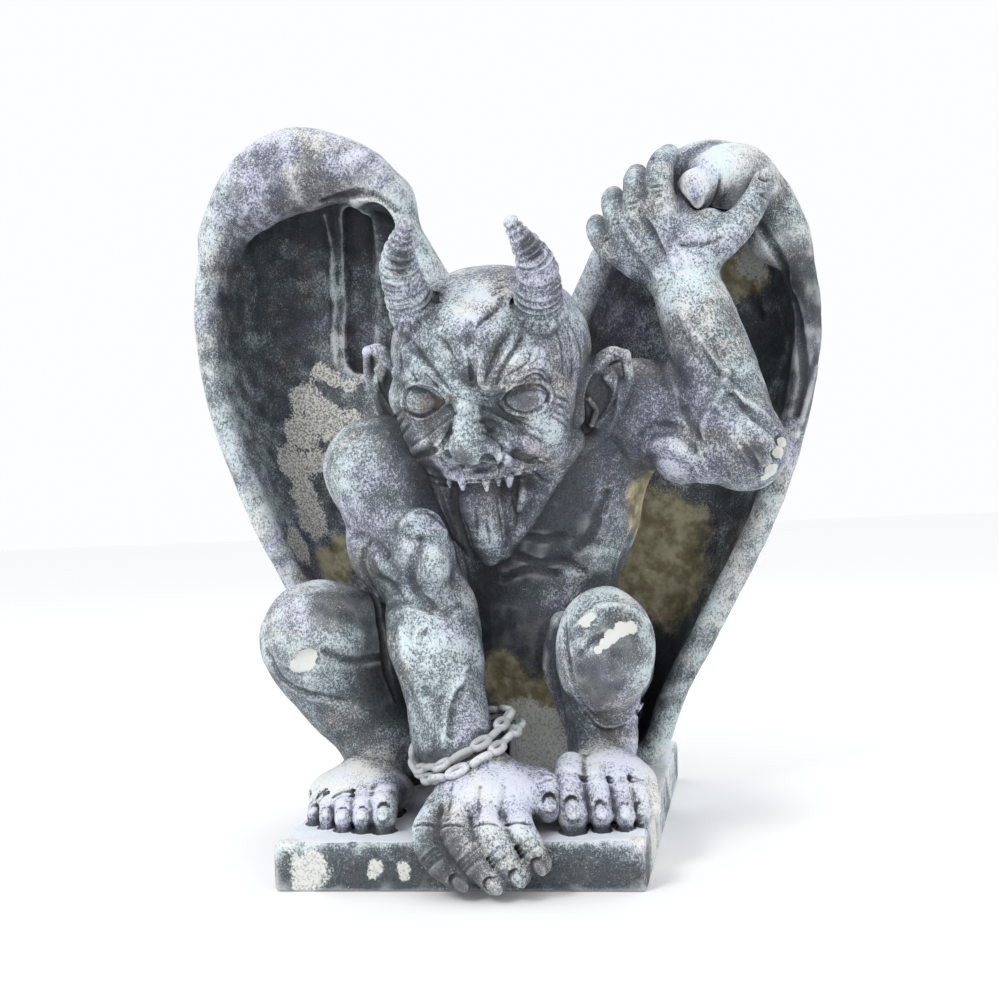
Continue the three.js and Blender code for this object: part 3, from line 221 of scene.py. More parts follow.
headPlan = {
    "centre": (23, -80, 576), "turn": -5, "nod": 28, "lean": 5.5,
    "horn": {"base": (74, -42, 88), "middle": (79, -60, 148), "tip": (60, -79, 200), "widths": (31, 24, 10)},
    "hornRing": 7.4, "hornRingWidth": 1.9,
    "box": ((-180, -290, 300), (220, 60, 800)),
    # These are in the head's own frame, which is turned, nods and leans
    "masses": {
        "skull": ((0, 10, 22), (122, 120, 98), 8), "face": ((0, -36, -44), (100, 70, 80), 40),
        "cheekLeft": ((-66, -58, -20), 34, (-70, -48, -80), 30, 24),
        "cheekRight": ((66, -58, -20), 34, (70, -48, -80), 30, 24),
        "muzzle": ((0, -72, -72), (62, 50, 34), 24),
    },
    "jawRims": [[(-80, -30, -90), (-60, -62, -136), (-46, -72, -178), (-20, -79, -210)],
                [(92, -22, -84), (70, -46, -128), (48, -64, -170), (18, -77, -207)]],
    "jawRimWidths": (24, 15, 12, 12),
    "jaw": {
        "cornerLeft": ((-62, -20, -90), 30, (-32, -30, -165), 24, 20),
        "cornerRight": ((64, -18, -90), 32, (34, -30, -160), 24, 20),
        "chin": ((-18, -79, -211), 12, (16, -79, -210), 12, 6), "floor": ((0, -44, -168), (50, 36, 50), 16),
    },
    "mouthHollows": [((2, -96, -122), (42, 38, 24)), ((0, -102, -166), (38, 26, 48))],
    "eye": (60, -91, -2), "eyeSize": (27, 17, 19), "cheekbone": (84, -56, -14), "cheekboneSize": (26, 26, 26),
    "socketDepth": 22, "socketSize": (32, 20, 20),
    "nose": [(2, -112, 12), (3, -124, -16), (4, -132, -40)], "noseWidths": (13, 18, 24),
    "nostrilWings": {"left": ((-24, -118, -50), (20, 18, 17), 8), "right": ((30, -118, -50), (20, 18, 17), 8)},
    "gum": {"left": ((-26, -44, -150), (26, 20, 54), 8)},
    "tongue": [(-8, -52, -118), (-6, -72, -152), (0, -83, -188), (2, -85, -208)],
    "tongueWidths": (30, 29, 25, 19),
    "ear": (132, 14, -46), "earSize": (30, 17, 50), "earHollow": (135, -6, -40), "earHollowSize": (19, 15, 38),
    "earRims": [([(103, -14, -56), (110, -9, -24), (126, 2, 0), (146, 12, 16), (162, 18, 12)],
                 (13, 12, 11, 10, 7), 5),
                ([(162, 18, 12), (165, 18, -22), (150, 18, -62), (126, 8, -94), (106, -2, -100)],
                 (7, 8, 10, 12, 14), 5)],
    "earInside": [([(140, 4, -12), (148, 9, -30), (141, 8, -56), (127, 2, -74)], 4, 4),
                  ([(120, -4, -36), (127, 0, -52), (122, -4, -70)], 4.5, 4)],
    # These are as the camera sees them
    "eyeRims": [[(403, 399), (408, 388), (422, 385), (436, 390), (446, 401), (436, 411), (422, 418),
                 (408, 413)],
                [(502, 399), (510, 389), (527, 384), (543, 385), (550, 395), (545, 407), (532, 414), (515, 413),
                 (505, 407)]],
    "nostrils": [(448, 458, (9, 12, 9)), (488, 460, (9, 12, 8))], "septum": (470, 469),
    "septumSize": (9, 5, 3.5),
    "lipCorner": [(524, 481), (527, 494), (522, 508)],
    # place, radii and length
    "teeth": [(461, 478, 6.6, 3.4, 8), (485, 479, 6.6, 3.4, 8), (508, 475, 6.6, 3.4, 8),
              (448, 479, 4.6, 2.6, 5), (436, 478, 4.6, 2.6, 5), (497, 477, 4.6, 2.6, 5)],
    "earFold": ([(371, 354), (376, 372), (382, 389), (389, 403)],
                [(601, 352), (614, 355), (620, 374), (616, 397), (604, 416)]),
    "brows": [
        ("ridge", 11, 12, [[(397, 372), (412, 378), (432, 385), (450, 393), (459, 392)]]),
        ("ridge", 10, 12, [[(489, 392), (502, 385), (517, 372), (534, 365), (551, 374)]]),
        ("ridge", 12, 12, [[(403, 354), (425, 364), (445, 379), (457, 389)]]),
        ("ridge", 11, 12, [[(489, 384), (499, 367), (519, 354), (539, 354)]]),
        ("ridge", 9, 12, [[(467, 349), (479, 369), (486, 384)]]),
        ("groove", 5.5, 8, [[(469, 324), (469, 344), (470, 362), (471, 379), (474, 389)]]),
        ("groove", 4, 8, [[(407, 339), (422, 354), (436, 372), (450, 389)]]),
        ("groove", 4.5, 8, [[(482, 324), (492, 314), (504, 302)]]),
        ("groove", 5, 8, [[(509, 332), (498, 348), (491, 364), (487, 382)]]),
        ("groove", 4.5, 8, [[(522, 339), (510, 354), (500, 372), (496, 383)]]),
        ("groove", 2, 1.5, [[(413, 342), (425, 357), (436, 372), (446, 385), (452, 394)], [(435, 332),
         (446, 343), (452, 354), (456, 362)], [(412, 372), (415, 379), (418, 383)], [(399, 349), (400, 362),
         (399, 374)], [(425, 374), (435, 385), (442, 392)], [(469, 359), (471, 374), (472, 388)],
         [(472, 388), (482, 395), (493, 399), (504, 394)], [(472, 388), (463, 398), (450, 400)],
         [(474, 331), (482, 322), (492, 314), (502, 303)], [(509, 334), (499, 347), (492, 362), (488, 374),
         (484, 388)], [(522, 338), (512, 352), (502, 369), (497, 384)], [(530, 349), (530, 359), (522, 367),
         (509, 375), (502, 385)], [(540, 349), (538, 359), (530, 365)], [(479, 372), (480, 380),
         (482, 387)], [(520, 374), (535, 370), (547, 375), (553, 387)], [(525, 379), (536, 375),
         (547, 381)]]),
    ],
    "bridge": [
        ("ridge", 9, 6, [[(463, 403), (466, 411)]]),
    ],
    "cheeks": [
        ("ridge", 9, 7, [[(413, 450), (427, 440), (442, 429), (453, 418)]]),
        ("ridge", 8, 8, [[(499, 431), (522, 443), (544, 456)], [(489, 449), (509, 461), (532, 469)]]),
        ("ridge", 9, 8, [[(432, 471), (454, 475), (474, 476), (499, 474), (519, 471)]]),
    ],
    "snarl": [
        ("groove", 3, 2.5, [[(410, 445), (427, 433), (442, 421), (456, 413)]]),
        ("groove", 3.4, 2.5, [[(412, 459), (427, 454), (440, 446), (449, 434)]]),
        ("groove", 3, 2.5, [[(484, 408), (497, 412), (512, 421), (525, 432), (540, 441)]]),
        ("groove", 2.2, 2.5, [[(474, 422), (487, 421), (500, 425)]]),
        ("groove", 3.4, 2.5, [[(484, 432), (497, 439), (510, 451), (525, 458), (544, 465)]]),
        ("groove", 3, 2.5, [[(443, 467), (440, 454), (446, 439), (452, 430)]]),
        ("groove", 2.6, 2.5, [[(499, 467), (505, 459), (502, 445)]]),
        ("groove", 2.4, 2.5, [[(512, 474), (524, 472), (535, 467)]]),
        ("groove", 2, 2.5, [[(504, 416), (519, 424), (534, 430), (549, 433)], [(529, 461), (539, 459),
         (549, 461)]]),
        ("groove", 2.2, 2.5, [[(532, 470), (540, 479), (547, 481)]]),
        ("groove", 2.4, 2.5, [[(450, 470), (459, 467), (469, 470), (484, 470), (492, 467)]]),
    ],
    "mouthLines": [
        ("groove", 2.4, 2, [[(464, 521), (468, 533), (472, 547)], [(487, 521), (489, 533), (490, 543)],
         [(498, 502), (502, 521), (504, 542)], [(476, 508), (476, 536)]]),
        ("groove", 1.5, 2, [[(440, 491), (446, 511), (456, 536)], [(513, 499), (516, 516), (512, 533)]]),
        ("groove", 2, 1.5, [[(430, 483), (450, 485), (467, 482), (489, 482), (504, 479), (522, 478)]]),
        ("ridge", 7, 3, [[(522, 481), (523, 495), (519, 510)]]),
    ],
    "wrinkles": [
        ("groove", 1.7, 1.5, [[(552, 403), (561, 406), (569, 412)], [(551, 410), (561, 415), (569, 421)],
         [(550, 416), (560, 422), (568, 428)], [(556, 397), (564, 399), (570, 403)], [(402, 411),
         (396, 416), (392, 422)], [(404, 418), (399, 424), (395, 431)], [(410, 424), (404, 431),
         (400, 437)], [(561, 317), (570, 339), (573, 364), (572, 384)], [(569, 319), (578, 339), (582, 359),
         (581, 374)], [(558, 332), (563, 354), (564, 374)]]),
        ("groove", 1.5, 1.5, [[(436, 277), (445, 279)], [(437, 286), (447, 287)], [(434, 293), (443, 295)],
         [(432, 301), (440, 302)], [(403, 324), (402, 332)], [(397, 322), (396, 330)], [(410, 324),
         (411, 331)], [(417, 319), (421, 325)], [(495, 288), (505, 286)], [(497, 281), (507, 277)],
         [(492, 295), (502, 290)], [(499, 300), (507, 296)], [(533, 324), (531, 331)], [(540, 324),
         (540, 333)], [(547, 324), (549, 330)], [(525, 319), (522, 326)], [(556, 319), (561, 326)]]),
    ],
}
wingLeft = {
    "edge": [(-60, 728), (-134, 852), (-190, 905), (-252, 933), (-318, 921), (-369, 874), (-419, 727),
             (-412, 573),
             (-358, 403), (-300, 285), (-235, 170), (-185, 50), (-40, 46), (20, 200), (34, 420), (0, 640)],
    "fluteFoot": (-120, 120), "flutes": (2, 8),
    "rimFoot": 80, "rimTop": 40, "cup": 165, "shoulder": 95, "wall": 36, "lobe": (24, 40, 46, 40, 36),
    "lobeLine": [(-380, 60, 800), (-330, 56, 842), (-258, 54, 868), (-186, 54, 866), (-138, 56, 828)],
    "recess": ([(354, 224), (358, 250), (359, 284), (361, 306), (359, 335), (360, 358)], 5, 25, 2.5),
    # line, how far out, width, blend
    "recessSlope": ([(374, 226), (382, 260), (386, 300), (384, 345)], 14, 30, 12),
    "stepEdge": [
        ("ridge", 3.6, 7, [[(325, 216), (332, 249), (333, 284), (336, 306), (334, 335), (336, 361)]]),
    ],
    "overhang": [
        ("groove", 5, 8, [[(324, 202), (343, 197), (362, 194), (381, 200), (397, 210)]]),
    ],
}
wingRight = {
    "edge": [(99, 681), (141, 757), (200, 820), (241, 858), (300, 871), (380, 808), (424, 680), (416, 553),
             (369, 400), (292, 251), (232, 145), (184, 50), (60, 46), (10, 200), (12, 400), (52, 590)],
    "fluteFoot": (130, 120), "flutes": (2, 8),
    "rimFoot": 118, "rimTop": 90, "cup": 118, "shoulder": 85, "wall": 36, "lobe": 35,
    "lobeLine": [(372, 104, 742), (348, 100, 800), (290, 98, 826), (235, 98, 806)],
    "relief": [
        ("groove", 4, 10, [[(760, 225), (781, 263), (793, 301), (800, 343), (805, 379), (798, 414)]]),
        ("groove", 4, 14, [[(722, 263), (741, 277), (760, 315)]]),
        ("ridge", 3, 8, [[(817, 367), (807, 403), (796, 436)]]),
    ],
}
clawPlan = {
    "masses": {
        "pad": ((316, 58, 818), (56, 44, 40), 20), "toe": ((300, 40, 806), 26, (352, 62, 800), 24, 20),
        "knuckle": ((275, 22, 794), (25, 30, 27), 12), "claw": ((275, 22, 794), 18, (277, -4, 766), 4, 8),
    },
    "creases": [
        ("groove", 2.4, 2.5, [[(720, 173), (720, 185), (716, 199), (709, 208)], [(677, 189), (684, 199),
         (691, 207), (698, 211)]]),
    ],
}
chainPlan = {
    # In front as the camera sees it, and behind the wrist in millimetres
    "front": {"upper": [(412, 761), (418, 769), (440, 766), (459, 757), (474, 747), (490, 738), (500, 726)],
              "lower": [(418, 777), (438, 779), (452, 774), (467, 765), (488, 756), (503, 742)]},
    "behind": {"upper": [(34, -112, 166), (-20, -100, 154), (-72, -130, 134)],
               "lower": [(42, -108, 150), (-18, -96, 138), (-76, -126, 118)]},
    "core": 5.0, "linkLength": 31.0, "linkWidth": 18.5, "wire": 4.2, "links": 15, "proud": 0.0,
}


# Vectors, turned frames and smooth curves
def mix(a, b, t):
    return a + (b - a) * t


def between(a, b, t):
    return tuple(mix(p, q, t) for p, q in zip(a, b))


def unit(v):
    return np.asarray(v, float) / np.linalg.norm(v)


class Frame:
    def __init__(self, origin, turn=0, nod=0, lean=0):
        self.origin = np.array(origin, float)
        spins = [Matrix.Rotation(math.radians(angle), 3, axis) for angle,
                 axis in ((turn, "Z"), (nod, "X"), (lean, "Y"))]
        self.matrix = np.array(spins[0] @ spins[1] @ spins[2])

    def at(self, x, y, z):
        return tuple(self.origin + self.matrix @ np.array((x, y, z), float))


def frameAlong(origin, along, outward):
    # A frame whose y runs along a limb, and whose z points out of it
    made = Frame(origin)
    y = unit(along)
    x = unit(np.cross(y, outward))
    made.matrix = np.array([x, y, np.cross(x, y)]).T
    return made


upright = Frame((0, 0, 0))
eyePoint = np.array(cameraPlan["place"])


def sightLine(u, v):
    # The way that the camera looks at pixel u, v of its frame
    right, up = np.array(cameraPlan["right"]), np.array(cameraPlan["up"])
    half = cameraPlan["photoPixels"] / 2
    return np.cross(up, right) + (right * (u - half) + up * (half - v)) / cameraPlan["focalPixels"]


def smoothCurve(points, closed, pieces):
    # A centripetal curve through the points, with so many pieces to each span
    points = np.array(points, float)
    if closed:
        padded = np.vstack([points[-1], points, points[:2]])
    else:
        padded = np.vstack([2 * points[0] - points[1], points, 2 * points[-1] - points[-2]])
    places = []
    for a, b, c, d in zip(padded, padded[1:], padded[2:], padded[3:]):
        knots = np.cumsum([0] + [max(np.linalg.norm(q - p), 1e-6) ** 0.5 for p, q in ((a, b), (b, c), (c, d))])
        for t in np.linspace(knots[1], knots[2], pieces, endpoint=False):
            ab = a + (b - a) * (t - knots[0]) / (knots[1] - knots[0])
            bc = b + (c - b) * (t - knots[1]) / (knots[2] - knots[1])
            cd = c + (d - c) * (t - knots[2]) / (knots[3] - knots[2])
            abc = ab + (bc - ab) * (t - knots[0]) / (knots[2] - knots[0])
            bcd = bc + (cd - bc) * (t - knots[1]) / (knots[3] - knots[1])
            places.append(abc + (bcd - abc) * (t - knots[1]) / (knots[2] - knots[1]))
    places.append(points[0] if closed else points[-1])
    return np.array(places)


# Shapes: each has a box that holds it and gives its distance at arrays of places
class Limb:
    def __init__(self, start, startRadius, end, endRadius, swell=0):
        self.start = np.array(start, np.float32)
        self.along = np.array(end, np.float32) - self.start
        self.length2 = max(float(self.along @ self.along), 1e-9)
        self.radii = (startRadius, endRadius)
        self.swell = swell
        reach = max(startRadius, endRadius) + max(0, swell)
        ends = np.array([start, end], float)
        self.low = ends.min(axis=0) - reach
        self.high = ends.max(axis=0) + reach

    def distance(self, x, y, z):
        dx, dy, dz = x - self.start[0], y - self.start[1], z - self.start[2]
        ax, ay, az = self.along
        t = np.clip((dx * ax + dy * ay + dz * az) / self.length2, 0, 1)
        gap = np.sqrt((dx - t * ax) ** 2 + (dy - t * ay) ** 2 + (dz - t * az) ** 2)
        gap -= mix(self.radii[0], self.radii[1], t)
        if self.swell:
            gap -= self.swell * 4 * t * (1 - t)
        return gap


class Egg:
    def __init__(self, centre, radii, turned=upright):
        self.centre = np.array(centre, np.float32)
        self.radii = np.array(radii, np.float32)
        self.axes = (turned.matrix.T / self.radii[:, None]).astype(np.float32)
        reach = np.abs(turned.matrix) @ self.radii
        self.low = self.centre - reach
        self.high = self.centre + reach

    def distance(self, x, y, z):
        dx, dy, dz = x - self.centre[0], y - self.centre[1], z - self.centre[2]
        a, b, c = (row[0] * dx + row[1] * dy + row[2] * dz for row in self.axes)
        k0 = np.sqrt(a * a + b * b + c * c)
        k1 = np.sqrt((a / self.radii[0]) ** 2 + (b / self.radii[1]) ** 2 + (c / self.radii[2]) ** 2)
        return k0 * (k0 - 1) / np.maximum(k1, 1e-6)


def limb(start, startRadius, end, endRadius, swell=0):
    return [Limb(start, startRadius, end, endRadius, swell)]


def egg(centre, radii, turned=upright):
    return [Egg(centre, radii, turned)]


def strand(points, radii, closed=False, pieces=4):
    # A rod along a smooth curve, whose radius changes evenly from point to point
    places = smoothCurve(points, closed, pieces)
    radii = list(radii) if isinstance(radii, (list, tuple)) else [radii] * len(points)
    if closed:
        radii.append(radii[0])
    widths = np.interp(np.arange(len(places)) / pieces, np.arange(len(radii)), radii)
    return [Limb(places[i], widths[i], places[i + 1], widths[i + 1]) for i in range(len(places) - 1)]


class Clay:
    # A box of grid cells that hold distances to the surface, negative in the stone
    def __init__(self, step, low, high):
        self.step = step
        self.first = np.floor(np.array(low) / step).astype(int)
        self.size = np.ceil(np.array(high) / step).astype(int) - self.first + 1
        self.values = np.full(self.size, carving["farAway"], np.float32)

    def window(self, low, high, reach):
        start = np.floor((np.array(low) - reach) / self.step).astype(int) - self.first
        stop = np.ceil((np.array(high) + reach) / self.step).astype(int) - self.first + 1
        start, stop = np.clip(start, 0, self.size), np.clip(stop, 0, self.size)
        span = tuple(slice(a, max(a, b)) for a, b in zip(start, stop))
        return span, [((g + f) * self.step).astype(np.float32) for g, f in zip(np.ogrid[span], self.first)]

    def nearest(self, shapes, reach):
        low = np.min([s.low for s in shapes], axis=0)
        high = np.max([s.high for s in shapes], axis=0)
        span, place = self.window(low, high, reach)
        if len(shapes) == 1:
            return span, shapes[0].distance(*place)
        near = np.full([s.stop - s.start for s in span], carving["farAway"], np.float32)
        for shape in shapes:
            part, place = self.window(shape.low, shape.high, reach)
            inner = tuple(slice(p.start - s.start, p.stop - s.start) for p, s in zip(part, span))
            near[inner] = np.minimum(near[inner], shape.distance(*place))
        return span, near

    def add(self, shapes, blend=8.0):
        # Joins shapes to the clay, with a fillet as wide as the blend
        span, near = self.nearest(shapes, blend + 3 * self.step)
        old = self.values[span]
        h = np.maximum(blend - np.abs(old - near), 0)
        self.values[span] = np.minimum(old, near) - h * h / (4 * blend)
        return self

    def carve(self, shapes, blend=5.0):
        # Cuts shapes out of the clay, with an edge rounded by the blend
        span, near = self.nearest(shapes, blend + 3 * self.step)
        old = self.values[span]
        h = np.maximum(blend - np.abs(old + near), 0)
        self.values[span] = np.maximum(old, -near) + h * h / (4 * blend)
        return self

    def join(self, other, blend=6.0):
        start = other.first - self.first
        a, b = np.clip(start, 0, self.size), np.clip(start + other.size, 0, self.size)
        span = tuple(slice(p, q) for p, q in zip(a, b))
        inner = tuple(slice(p - s, q - s) for p, q, s in zip(a, b, start))
        old, near = self.values[span], other.values[inner]
        h = np.maximum(blend - np.abs(old - near), 0)
        self.values[span] = np.minimum(old, near) - h * h / (4 * blend)
        return self

    def trim(self):
        # Nothing goes below the plinth's underside
        z = ((np.arange(self.size[2]) + self.first[2]) * self.step).astype(np.float32)
        self.values = np.maximum(self.values, -z[None, None, :])
        return self

    def valueAt(self, places):
        spot = places / self.step - self.first
        inside = ((spot >= 0) & (spot <= self.size - 1)).all(axis=1)
        base = np.clip(np.floor(spot).astype(int), 0, self.size - 2)
        part = np.clip(spot - base, 0, 1)
        total = np.zeros(len(places))
        for corner in np.ndindex(2, 2, 2):
            cell = base + corner
            share = np.prod(np.where(corner, part, 1 - part), axis=1)
            total += share * self.values[cell[:, 0], cell[:, 1], cell[:, 2]]
        return np.where(inside, total, carving["farAway"])

    def seen(self, u, v, out=0.0):
        # Where the camera sees the clay at pixel u, v, brought forward by so much
        way = sightLine(u, v)
        reach = np.arange(cameraPlan["near"], cameraPlan["far"], self.step)
        values = self.valueAt(eyePoint + reach[:, None] * way)
        solid = values < 0
        if not solid.any():
            return None
        i = max(np.argmax(solid), 1)
        share = values[i - 1] / (values[i - 1] - values[i])
        return eyePoint + (reach[i - 1] + share * self.step - out) * way

    def knock(self, u, v, size, blend=3.0):
        # Breaks a little stone away where the camera sees it
        place = self.seen(u, v, size * 0.5)
        return self if place is None else self.carve(egg(place, (size, size, size * 0.8)), blend)

    def lineSeen(self, points, closed=False, out=0.0, pieces=5):
        places = [self.seen(u, v, out) for u, v in smoothCurve(points, closed, pieces)]
        return [p for p in places if p is not None]

    def engrave(self, points, width, blend=2.0, closed=False):
        # A groove along a line seen by the camera, thin at its ends
        line = self.lineSeen(points, closed)
        ends = 1.0 if closed else 0.4
        widths = [width * mix(ends, 1, math.sin(math.pi * (i + 0.5) / len(line))) for i in range(len(line))]
        return self.carve(strand(line, widths, pieces=1), blend) if len(line) > 1 else self

    def swellUp(self, points, width, blend=6.0, closed=False, out=0.0):
        # A ridge along a line seen by the camera, thin at its ends
        line = self.lineSeen(points, closed, out)
        ends = 1.0 if closed else 0.5
        widths = [width * mix(ends, 1, math.sin(math.pi * (i + 0.5) / len(line))) for i in range(len(line))]
        return self.add(strand(line, widths, pieces=1), blend) if len(line) > 1 else self

    def behind(self, x, z):
        # The furthest place on the back of the clay at x, z of the front view
        depths = np.arange((self.first[1] + self.size[1] - 1) * self.step, self.first[1] * self.step,
                           -self.step)
        solid = self.valueAt(np.stack([np.full_like(depths, x), depths, np.full_like(depths, z)], axis=1)) < 0
        return np.array((x, depths[np.argmax(solid)], z)) if solid.any() else None

    def model(self, masses, turned=upright):
        # Eggs and limbs in their order, in a frame of their own
        for *sizes, blend in masses.values():
            if len(sizes) == 2:
                shapes = egg(turned.at(*sizes[0]), sizes[1], turned)
            else:
                start, startRadius, end, *rest = sizes
                shapes = limb(turned.at(*start), startRadius, turned.at(*end), *rest)
            self.add(shapes, blend)

    def relief(self, marks):
        # Grooves and ridges: how wide, how softly blended, and the lines that the camera sees
        for kind, width, blend, lines in marks:
            for line in lines:
                (self.engrave if kind == "groove" else self.swellUp)(line, width, blend)


# Fingers and toes
def crease(clay, place, along, outward, radius, width=1.7, spread=62):
    # A fold across a finger
    turned = frameAlong(place, along, outward)
    angles = np.radians(np.linspace(-spread, spread, 7))
    depths = clay.valueAt(np.array([turned.at(math.sin(a) * radius, 0, math.cos(a) * radius) for a in angles]))
    reaches = radius - np.clip(depths, -6, 3)  # the arc lies on the skin, also where the finger is half buried
    arc = [turned.at(math.sin(a) * reach, 0, math.cos(a) * reach) for a, reach in zip(angles, reaches)]
    clay.carve(strand(arc, (0.6 * width, width, width, width, width, width, 0.6 * width), pieces=1), 1.5)


def nail(clay, place, along, outward, radius):
    turned = frameAlong(place, along, outward)
    size = np.array((0.66, 0.9, 0.36)) * radius
    clay.carve(egg(turned.at(0, radius * 0.1, radius * 0.92), size, turned), 1.2)
    clay.add(egg(turned.at(0, radius * 0.1, radius * 0.74), size * (0.86, 0.9, 0.9), turned), 1.0)


def digit(clay, line, width, kind):
    plan = digitPlan[kind]
    widths = [width * share for share in plan["taper"]]
    clay.add(strand(line, widths), plan["blend"])
    for at, count in plan["creases"]:
        here, along = np.array(line[at],
                               float), unit(np.subtract(line[min(at + 1, len(line) - 1)], line[at - 1]))
        for i in range(count):
            crease(clay, here + along * (i - (count - 1) / 2) * 4.6, along, plan["outward"], widths[at])
    if plan["nailed"]:
        nail(clay, np.array(line[-1], float), unit(np.subtract(line[-1], line[-2])), plan["outward"],
             widths[-1])


# The figure, part by part
def makeTorso(step):
    clay = Clay(step, *torsoPlan["box"])
    clay.model(torsoPlan["masses"])
    clay.carve(strand(torsoPlan["spine"], 9), 14)
    return clay


def makeLeg(step, plan):
    clay = Clay(step, *carving["legBox"])
    hip, knee, ankle, ball = plan["hip"], plan["knee"], plan["ankle"], plan["ball"]
    clay.add(limb(hip, 84, between(hip, knee, 0.85), plan["kneeSize"][1] - 2, 4))
    clay.add(egg(knee, plan["kneeSize"]), 24)
    clay.add(limb(plan["shinTop"], plan["shinWidth"], ankle, plan["ankleWidth"], 4), 22)
    clay.add(limb(ankle, plan["ankleWidth"], plan["heel"], 32), 24)
    clay.add(limb(ankle, plan["ankleWidth"] - 8, ball, 28), 24)
    clay.add(egg(ball, plan["ballSize"]), 24)
    for line, width in plan["toes"]:
        digit(clay, line, width, "toe")
    return clay


def makeBody():
    plan, step = plinthPlan, carving["bodyStep"]
    stone = Clay(step, *plan["box"])
    corners = np.array(plan["corners"], float)
    wear = plan["wear"]
    span, (x, y, z) = stone.window((*corners.min(axis=0), 0), (*corners.max(axis=0), plan["height"]), 20)
    edges = np.roll(corners, -1, axis=0) - corners
    ways = [unit((edge[1], -edge[0])) for edge in edges]
    gaps = [way[0] * (x - corner[0]) + way[1] * (y - corner[1]) + wear for way, corner in zip(ways, corners)]
    middle = plan["height"] / 2
    sides = (np.maximum(gaps[0], gaps[2]), np.maximum(gaps[1], gaps[3]), np.abs(z - middle) - middle + wear)
    outside = np.sqrt(sum(np.maximum(s, 0) ** 2 for s in sides))
    inside = np.minimum(np.maximum(np.maximum(sides[0], sides[1]), sides[2]), 0)
    stone.values[span] = outside + inside - wear
    # Worn and knocked edges
    for u, v, size in plan["knocks"]:
        stone.knock(u, v, size)
    stone.join(makeTorso(step), 4)
    stone.join(makeLeg(step, legLeft), 10)
    stone.join(makeLeg(step, legRight), 10)
    stone.model(plan["toeBeds"])
    carveKnees(stone)
    stone.model(plan["seat"])
    stone.relief(torsoPlan["folds"])
    return stone


def carveKnees(stone):
    # The right knee is a smooth egg over a shield, and the skin of the left knee is broken
    stone.relief(legRight["kneeRelief"])
    stone.model(legRight["kneecap"])
    stone.add(strand(legRight["innerShin"], legRight["innerShinWidths"]), 10)
    stone.carve(egg(stone.seen(*legLeft["chip"]), legLeft["chipSize"]), 2)
    stone.relief(legLeft["kneeRelief"])


def layArm(plan):
    # Shoulder, upper arm and forearm, with their muscles
    clay = Clay(carving["armStep"], *plan["box"])
    shoulder, elbow, wrist = plan["shoulder"], plan["elbow"], plan["wrist"]
    upper, fore = between(shoulder, elbow, plan["gaps"][0]), between(elbow, wrist, plan["gaps"][1])
    clay.add(egg(shoulder, plan["shoulderSize"]))
    clay.add(limb(upper, plan["upperWidth"], elbow, plan["elbowWidth"]), 30)
    clay.model(plan["upperMuscles"])
    clay.add(limb(fore, plan["foreWidth"], wrist, plan["wristWidth"], plan["foreSwell"]), 16)
    clay.model(plan["foreMuscles"])
    return clay


def chainPath(clay, name, proud):
    front = clay.lineSeen(chainPlan["front"][name], out=proud, pieces=2)
    return [tuple(p) for p in front] + chainPlan["behind"][name]


def makeBracedArm():
    plan = bracedArm
    clay = layArm(plan)
    clay.add(limb(plan["wrist"], plan["wristWidth"], plan["hand"], 34), 24)
    clay.add(egg(plan["hand"], plan["handSize"]), 22)
    clay.relief(plan["relief"])
    for line, width in plan["fingers"]:
        digit(clay, line, width, "spread")
        for shift in (-3, 3):
            crease(clay, np.add(line[1], (0, shift, -shift)), (0, -1, -1), (-0.1, -0.7, 0.7), width * 1.12, 1.6,
                   45)
    digit(clay, *plan["thumb"], "spreadThumb")
    clay.relief(plan["thumbCreases"])
    for name in ("upper", "lower"):
        clay.add(strand(chainPath(clay, name, 0), chainPlan["core"], closed=True), 3)
    clay.relief(plan["sinews"])
    return clay


def makeRaisedArm():
    plan = raisedArm
    clay = layArm(plan)
    clay.model(plan["palm"])
    for line, width in plan["fingers"]:
        digit(clay, line, width, "grip")
    digit(clay, *plan["thumb"], "gripThumb")
    clay.relief(plan["relief"])
    for u, v, size in plan["breaks"]:
        clay.knock(u, v, size)
    return clay


def sided(face, points, side=1):
    return [face.at(x * side, y, z) for x, y, z in points]


def makeHead():
    plan = headPlan
    face = Frame(plan["centre"], plan["turn"], plan["nod"], plan["lean"])
    clay = Clay(carving["headStep"], *plan["box"])
    clay.model(plan["masses"], face)
    for rim in plan["jawRims"]:
        clay.add(strand(sided(face, rim), plan["jawRimWidths"]), 14)
    clay.model(plan["jaw"], face)
    for place, size in plan["mouthHollows"]:
        clay.carve(egg(face.at(*place), size, face), 8)
    clay.relief(plan["brows"])
    carveEyes(clay, face)
    carveMuzzle(clay, face)
    carveMouth(clay, face)
    for side in (-1, 1):
        carveEar(clay, face, side)
        carveHorn(clay, face, side)
    clay.relief(plan["wrinkles"])
    return clay


